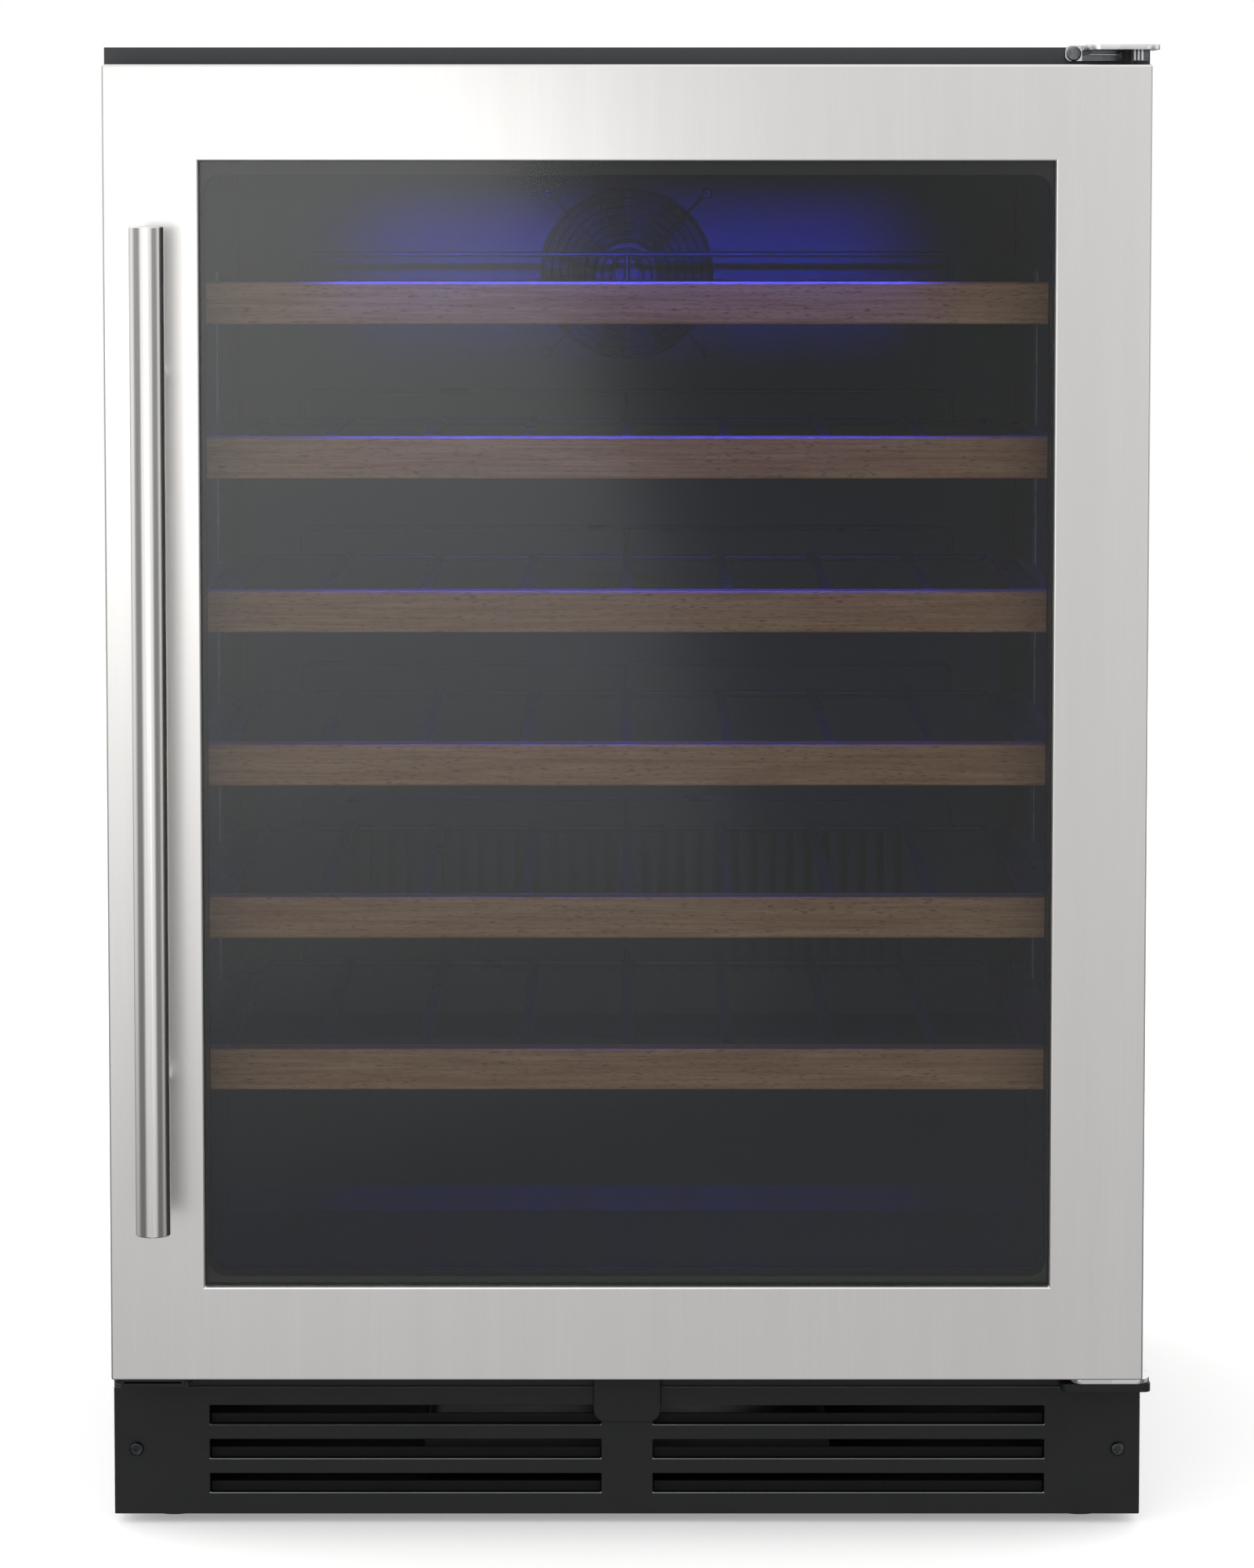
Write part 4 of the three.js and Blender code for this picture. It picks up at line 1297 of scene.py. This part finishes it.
@dataclass
class Shelf:
    """One pull-out shelf: a beech front, a wire rack with a raised stop, and two runners."""

    level: int
    half_width: float = 235 * MM
    bed_drop: float = 7 * MM
    wire_radius: float = 2.0 * MM
    loop_bend: float = 9 * MM
    nose: float = 3 * MM
    nose_height: float = 13 * MM
    strap_width: float = 7 * MM
    strap_sheet: float = 2 * MM
    straps: int = 7
    pitch: float = 60 * MM
    stop_half: float = 210 * MM
    stop_rise: float = 16 * MM
    stop_bend: float = 6 * MM
    rail_inner: float = 243.5 * MM
    rail_outer: float = 251.2 * MM
    rail_top: float = 10 * MM
    rail_foot: float = 20 * MM
    rail_groove: float = 2.5 * MM
    rail_wall: float = 2.2 * MM
    web_inner: float = 233 * MM

    def build(self) -> None:
        """Builds and dresses the shelf."""
        body = f"shelf_{self.level}"
        reface(f"shelf_fascia_{self.level}", BEECH, body, 1.6 * MM, 4)
        dress(self.build_rack(), WIRE_COAT, body, f"shelf_rack_{self.level}")

    def build_rack(self) -> bpy.types.Object:
        """Welds the rack from its frame, straps and stop.

        Returns:
            The rack.
        """
        low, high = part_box(f"shelf_rack_{self.level}")
        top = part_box(f"shelf_fascia_{self.level}")[1].z
        half, bed = self.half_width, top - self.bed_drop
        bar = self.wire_radius * 1.25
        front, back = low.y + self.nose, high.y - bar
        frame_z = bed - bar - 1 * MM
        loop = [(-half, front, frame_z), (-half, back, frame_z), (half, back, frame_z),
                (half, front, frame_z)]
        parts = [wire("rack_loop", loop, bar, self.loop_bend)]
        parts.append(block("rack_front", (-half, low.y, bed - self.nose_height),
                           (half, low.y + self.nose, bed)))
        for index in range(self.straps):
            x = (index - (self.straps - 1) / 2) * self.pitch
            left, right = x - self.strap_width / 2, x + self.strap_width / 2
            parts.append(slab("rack_strap", (left, front, bed - self.strap_sheet),
                              (right, back, bed), 0.9 * MM))
        side, stop = self.stop_half, bed + self.stop_rise
        arch = [(-side, back, frame_z), (-side, back, stop), (side, back, stop),
                (side, back, frame_z)]
        parts.append(wire("rack_stop", arch, self.wire_radius * 0.9, self.stop_bend))
        prong = [(0, back, frame_z), (0, back, stop)]
        parts.append(wire("rack_prong", prong, self.wire_radius * 0.9))
        for side in (-1, 1):
            parts.extend(self.runner(side, low.y + 8 * MM, high.y - 4 * MM, top))
        return join(f"shelf_rack_{self.level}_wire", parts)

    def runner(self, side: int, front: float, back: float, top: float) -> list[bpy.types.Object]:
        """Rolls the runner of one side, with its web.

        Args:
            side: -1 for the left, 1 for the right.
            front: The place of its front end.
            back: The place of its back end.
            top: The height of the shelf front's top edge.

        Returns:
            The runner's parts.
        """
        near, far = sorted((side * self.rail_inner, side * self.rail_outer))
        rail = block("runner", (near, front, top - self.rail_foot),
                     (far, back, top - self.rail_top))
        with editing(rail) as mesh:
            pick(rail, mesh.faces, lambda f: side * f.normal.x < -FACING)
            bpy.ops.mesh.inset(thickness=self.rail_wall)
            extrude(side * self.rail_groove, 0, 0)
        round_edges(rail, 0.5 * MM, 2)
        near, far = sorted((side * self.web_inner, side * (self.rail_inner + 0.6 * MM)))
        flange = slab("runner_web", (near, front, top - 12 * MM), (far, back, top - 10.4 * MM),
                      0.3 * MM, 1)
        return [rail, flange]


# ---------------------------------------------------------------- inside


@dataclass
class Interior:
    """The liner, slides, air cover, fan guard, sensor cap, controls and light."""

    vent_corner: float = 2.4 * MM
    vent_reach: float = 190 * MM
    vent_foot: float = 20 * MM
    vent_top: float = 130 * MM
    cover_sheet: float = 3 * MM
    guard_wire: float = 1.0 * MM
    guard_rings: int = 9
    guard_reach: float = 57 * MM
    spoke_reach: float = 52.5 * MM
    hub_radius: float = 8 * MM
    hub_height: float = 1.8 * MM
    body: str = Body.CABINET.value

    def build(self) -> None:
        """Builds and dresses everything inside the cavity that stays put."""
        reface("inner_liner", LINER, self.body, 1.6 * MM, 3)
        for node in ("slide_rails_left", "slide_rails_right"):
            reface(node, ZINC, self.body, 0.5 * MM)
        self.build_cover()
        self.build_guard()
        for node, finish, edge, steps in (
            ("sensor_cover", ABS, 0.7, 2), ("evaporator_fan_frame", FAN_PLASTIC, 0.8, 2),
            ("evaporator_coil", FIN_COAT, 0.1, 1), ("control_housing", ABS, 0.8, 2),
            ("display_lens", DISPLAY, 0.5, 2), ("led_lens", LENS, 0.5, 2),
        ):
            reface(node, finish, self.body, edge * MM, steps)
        for name in ("power", "light", "cooler", "warmer"):
            reface("button_" + name, ABS, "button_" + name, 0.8 * MM, 3)

    def build_cover(self) -> None:
        """Rounds the ends of the cover's vents."""
        cover = softened("evaporator_cover", 0.0)
        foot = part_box("evaporator_cover")[0].z
        with editing(cover, "EDGE") as mesh:
            pick(cover, mesh.edges, lambda e: self.is_vent_corner(e, foot))
            bpy.ops.mesh.bevel(offset=self.vent_corner, segments=4)
        smooth(cover)
        dress(cover, LINER, self.body, "evaporator_cover")

    def is_vent_corner(self, edge: bmesh.types.BMEdge, foot: float) -> bool:
        """Says whether an edge runs through the sheet at a vent's corner.

        Args:
            edge: The edge.
            foot: The height of the cover's lower edge.

        Returns:
            True if it does.
        """
        start, end = (v.co for v in edge.verts)
        through = abs(start.x - end.x) + abs(start.z - end.z) < NEAR
        in_row = self.vent_foot < start.z - foot < self.vent_top
        in_vents = abs(start.x) < self.vent_reach and in_row
        return through and in_vents and abs(start.y - end.y) < self.cover_sheet

    def build_guard(self) -> None:
        """Welds the fan guard: round rings on crossed spokes, with four screws."""
        low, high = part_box("fan_grille")
        centre = (low + high) / 2
        parts = []
        for index in range(self.guard_rings):
            bpy.ops.mesh.primitive_torus_add(
                location=centre, rotation=Axis.Y.value,
                major_radius=self.guard_reach * (index + 2) / (self.guard_rings + 1.4),
                minor_radius=self.guard_wire * 0.8, major_segments=64, minor_segments=8,
            )
            parts.append(settle(bpy.context.object, "guard_ring"))
        reach = self.spoke_reach
        for turn in (-1, 1):
            across = Vector((reach, 0, turn * reach))
            parts.append(wire("guard_spoke", [centre - across, centre + across],
                              self.guard_wire * 0.85))
        hub = rod("guard_hub", centre, self.hub_radius, self.hub_height, Axis.Y, 32)
        round_edges(hub, 0.4 * MM, 2)
        parts.append(hub)
        guard = join("fan_guard", parts)
        smooth(guard)
        dress(guard, WIRE_COAT, self.body, "fan_grille")
        screw = CrossScrew(radius=3.6 * MM, height=1.8 * MM)
        heads = []
        for sx in (-1, 1):
            for sz in (-1, 1):
                seat = (centre.x + sx * reach, high.y, centre.z + sz * reach)
                heads.append(screw.build("guard_screw", seat))
        dress(join("guard_screws", heads), BLACK_SCREW, self.body)


# ---------------------------------------------------------------- machine


@dataclass
class Machine:
    """The cooling machine: compressor, condenser, fans, drip tray and mains inlet."""

    pipe: float = 3.2 * MM
    pipe_bend: float = 12 * MM
    pipe_rise: float = 8 * MM
    body: str = Body.CABINET.value

    def build(self) -> None:
        """Builds and dresses the machine's pieces."""
        for node, finish, edge, steps, angle in (
            ("compressor", BLACK_COAT, 1.2, 2, 25), ("condenser_coil", BLACK_COAT, 0.1, 1, 40),
            ("condenser_fan_frame", ABS, 0.8, 2, 40), ("drip_tray", ABS, 0.6, 2, 40),
            ("mains_inlet", ABS, 0.5, 2, 40),
        ):
            reface(node, finish, self.body, edge * MM, steps, angle)
        for fan in (Body.EVAPORATOR_FAN, Body.CONDENSER_FAN):
            reface(fan.value + "_rotor", FAN_PLASTIC, fan.value, 0.5 * MM, 2, 50)
        self.build_pipe()

    def build_pipe(self) -> None:
        """Bends the black discharge pipe from the compressor over to the condenser."""
        can_low, can_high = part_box("compressor")
        coil_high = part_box("condenser_coil")[1]
        top = can_high.z + self.pipe_rise
        y = (can_low.y + can_high.y) / 2
        start = (can_low.x + can_high.x) / 2 - 20 * MM
        end = coil_high.x - 14 * MM
        run = [(start, y, can_high.z - 6 * MM), (start, y, top), (end, y, top),
               (end, y, coil_high.z - 2 * MM)]
        dress(wire("discharge_pipe", run, self.pipe, self.pipe_bend), BLACK_COAT, self.body)


# ---------------------------------------------------------------- studio


@dataclass
class Studio:
    """The floor, the lights and the camera.

    Each band is a list of headings in degrees, 0 to the front, with a brightness.
    """

    floor: float = 5.0
    floor_glow: float = 0.3
    distance: float = 2.8
    eye: float = 0.79
    lens: float = 114.39
    shift: float = -0.16
    tilt: float = 4.28
    sky_left: float = 1.35
    sky_right: float = 1.1
    ground: float = 0.22
    apron: float = 0.7
    reach: float = 0.16
    horizon: tuple = (
        (-180, 0.5), (-140, 0.6), (-128, 1.1), (-100, 1.1), (-88, 0.5), (-76, 0.3), (-44, 0.3),
        (-34, 1.5), (-8, 1.5), (-5.8, 0.3), (5.6, 0.3), (8, 1.6), (30, 1.6), (40, 0.3),
        (70, 0.3), (84, 1.0), (112, 1.0), (126, 0.3), (180, 0.5),
    )
    lifted: tuple = (
        (-180, 0.0), (-42, 0.0), (-34, 1.0), (-8, 1.0), (-5.8, 0.0), (5.6, 0.0), (8, 1.0),
        (30, 1.0), (38, 0.0), (180, 0.0),
    )
    ahead: tuple = ((-180, 0.1), (-12, 0.1), (-5, 1.0), (5, 1.0), (12, 0.1), (180, 0.1))
    card_y: float = -1.66
    card_edge: float = 0.149
    card_top: float = 0.93
    card_width: float = 0.52
    card_gap: float = 0.012
    lean: float = math.radians(16)
    cards: tuple = ((0.05, .25), (0.2, .35), (0.34, .35), (0.48, .35), (0.62, .35), (0.76, .35))
    bar_colour: str = "#2f35ff"
    bar_share: float = 0.95
    bar_drop: float = 1.5 * MM

    def build(self) -> None:
        """Lays the floor, sets the light and places the camera."""
        self.lay_floor()
        self.light_room()
        self.hang_cards()
        self.light_cavity()
        self.place_camera()

    def lay_floor(self) -> None:
        """Lays a pale floor that glows a little, as a light table does."""
        bpy.ops.mesh.primitive_circle_add(vertices=96, radius=self.floor, fill_type="NGON")
        floor = settle(bpy.context.object, "studio_floor")
        material = bpy.data.materials.new("pale_studio_floor")
        material.use_nodes = True
        shader = material.node_tree.nodes["Principled BSDF"]
        for socket, value in (
            ("Base Color", linear("#f2f2f1")), ("Roughness", 0.9), ("Specular IOR Level", 0.1),
            ("Emission Color", linear("#ffffff")), ("Emission Strength", self.floor_glow),
        ):
            shader.inputs[socket].default_value = value
        material.cycles.emission_sampling = "NONE"
        floor.data.materials.append(material)
        floor.visible_glossy = False

    def light_room(self) -> None:
        """Sets a white room with soft boxes as bands round the horizon."""
        world = bpy.data.worlds.new("studio")
        bpy.context.scene.world = world
        world.use_nodes = True
        tree = world.node_tree
        tree.nodes.clear()
        way = add_node(tree, "TexCoord").outputs["Generated"]
        part = add_node(tree, "SeparateXYZ", {"Vector": way})
        front = add_node(tree, "Math", {0: part.outputs["Y"], 1: -1.0}, operation="MULTIPLY")
        turn = add_node(
            tree, "Math", {0: part.outputs["X"], 1: front.outputs[0]}, operation="ARCTAN2"
        )
        height = part.outputs["Z"]
        share = add_node(tree, "MapRange", {
            "Value": turn.outputs[0], "From Min": -math.pi, "From Max": math.pi,
        }).outputs["Result"]
        around = self.band(tree, share, self.horizon)
        side = add_node(tree, "MapRange", {
            "Value": part.outputs["X"], "From Min": -0.5, "From Max": 0.5,
            "To Min": self.sky_left, "To Max": self.sky_right,
        })
        reach = self.band(tree, share, self.lifted)
        lifted = add_node(tree, "Math", {0: reach, 1: self.reach, 2: height},
                          operation="MULTIPLY_ADD")
        high = add_node(tree, "MapRange", {
            "Value": lifted.outputs[0], "From Min": 0.01, "From Max": 0.1,
        }, interpolation_type="SMOOTHSTEP")
        lit = mix_colour(
            tree, high.outputs["Result"], around, self.grey(tree, side.outputs["Result"])
        )
        low = add_node(tree, "MapRange", {
            "Value": height, "From Min": -0.28, "From Max": -0.06, "To Min": self.ground,
        }, interpolation_type="SMOOTHSTEP")
        dimmed = mix_colour(tree, 1.0, lit, self.grey(tree, low.outputs["Result"]), "MULTIPLY")
        apron = add_node(tree, "MapRange", {
            "Value": height, "From Min": -0.05, "From Max": -0.3, "To Max": self.apron,
        }).outputs["Result"]
        middle = self.band(tree, share, self.ahead)
        near = mix_colour(tree, 1.0, middle, self.grey(tree, apron), "MULTIPLY")
        whole = mix_colour(tree, 1.0, dimmed, near, "ADD")
        room = add_node(tree, "Background", {"Color": whole, "Strength": 1.0})
        backdrop = add_node(tree, "Background", {"Color": (1, 1, 1, 1), "Strength": 1.0})
        seen = add_node(tree, "LightPath").outputs["Is Camera Ray"]
        mixed = add_node(tree, "MixShader", {
            0: seen, 1: room.outputs["Background"], 2: backdrop.outputs["Background"],
        })
        add_node(tree, "OutputWorld", {"Surface": mixed.outputs["Shader"]})

    def band(
        self, tree: bpy.types.NodeTree, share: Socket, stops: Sequence[tuple[float, float]]
    ) -> Socket:
        """Gives a brightness that changes round the horizon.

        Args:
            tree: The world's node tree.
            share: The heading, with -180 to 180 degrees mapped to 0 to 1.
            stops: Headings in degrees with their brightness.

        Returns:
            The brightness as a colour.
        """
        node = add_node(tree, "ValToRGB", {"Fac": share})
        return ramp(node, [((a + 180) / 360, (v, v, v, 1.0)) for a, v in stops])

    def grey(self, tree: bpy.types.NodeTree, value: Socket) -> Socket:
        """Returns a number as a grey colour."""
        inputs = {"Red": value, "Green": value, "Blue": value}
        return add_node(tree, "CombineColor", inputs).outputs["Color"]

    def hang_lamp(
        self, name: str, size: tuple[float, float], energy: float, place: Sequence[float],
        turn: Sequence[float],
    ) -> bpy.types.Light:
        """Hangs a rectangular lamp that the camera doesn't see.

        Args:
            name: The lamp's name.
            size: Its width and its height.
            energy: Its power in watts.
            place: Its middle.
            turn: Its turn in radians.

        Returns:
            The lamp.
        """
        lamp = bpy.data.lights.new(name, "AREA")
        lamp.shape = "RECTANGLE"
        lamp.size, lamp.size_y = size
        lamp.energy = energy
        holder = link(lamp.name, lamp)
        holder.location = place
        holder.rotation_euler = turn
        holder.visible_camera = False
        return lamp

    def hang_cards(self) -> None:
        """Hangs overlapping soft boxes left of the camera, whose slanted edge the glass mirrors."""
        right = Vector((math.cos(self.lean), 0, math.sin(self.lean)))
        upward = Vector((-math.sin(self.lean), 0, math.cos(self.lean)))
        for index, (foot, glow) in enumerate(self.cards):
            depth = self.card_y - index * self.card_gap
            corner = Vector((self.card_edge - foot * math.tan(self.lean), depth, foot))
            height = (self.card_top - foot) / math.cos(self.lean)
            self.hang_lamp(
                f"soft_box_{index + 1}", (self.card_width, height),
                glow * math.pi * self.card_width * height,
                corner + upward * height / 2 - right * self.card_width / 2,
                (math.pi / 2, -self.lean, 0),
            )

    def light_cavity(self) -> None:
        """Puts the blue light bar's output under its lens."""
        low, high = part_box("led_lens")
        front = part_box("shelf_fascia_1")[0].y - 5 * MM
        middle_y = (low.y + high.y) / 2
        size = (self.bar_share * (high.x - low.x), high.y - low.y)
        for name, place, tilt, power, spread in (
            ("blue_bar_down", middle_y, 0.0, 1.3, 130.0),
            ("blue_bar_back", middle_y, 80.0, 0.16, 20.0),
            ("blue_bar_front", front, 3.0, 0.35, 60.0),
        ):
            seat = ((low.x + high.x) / 2, place, low.z - self.bar_drop)
            lamp = self.hang_lamp(name, size, power, seat, (math.radians(tilt), 0, 0))
            lamp.spread = math.radians(spread)
            lamp.color = linear(self.bar_colour)[:3]

    def place_camera(self) -> None:
        """Stands the camera in front, a little above the top shelf, and sets it for the scene."""
        data = bpy.data.cameras.new("camera")
        data.lens = self.lens
        data.sensor_width = 36.0
        data.shift_y = self.shift
        camera = link("camera", data)
        camera.location = (0.0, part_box("door_frame")[0].y - self.distance, self.eye)
        camera.rotation_euler = (math.radians(90 - self.tilt), 0, 0)
        bpy.context.scene.camera = camera


# ---------------------------------------------------------------- the cooler


def main() -> None:
    """Builds the studio and every sub-assembly in order, and reports each piece."""
    logging.basicConfig(level=logging.INFO, format="%(name)s %(message)s")
    bpy.context.scene.view_settings.view_transform = "Standard"
    Studio().build()
    Door().build()
    Cabinet().build()
    for level in range(1, 7):
        Shelf(level).build()
    Interior().build()
    Machine().build()


if __name__ == "__main__":
    main()
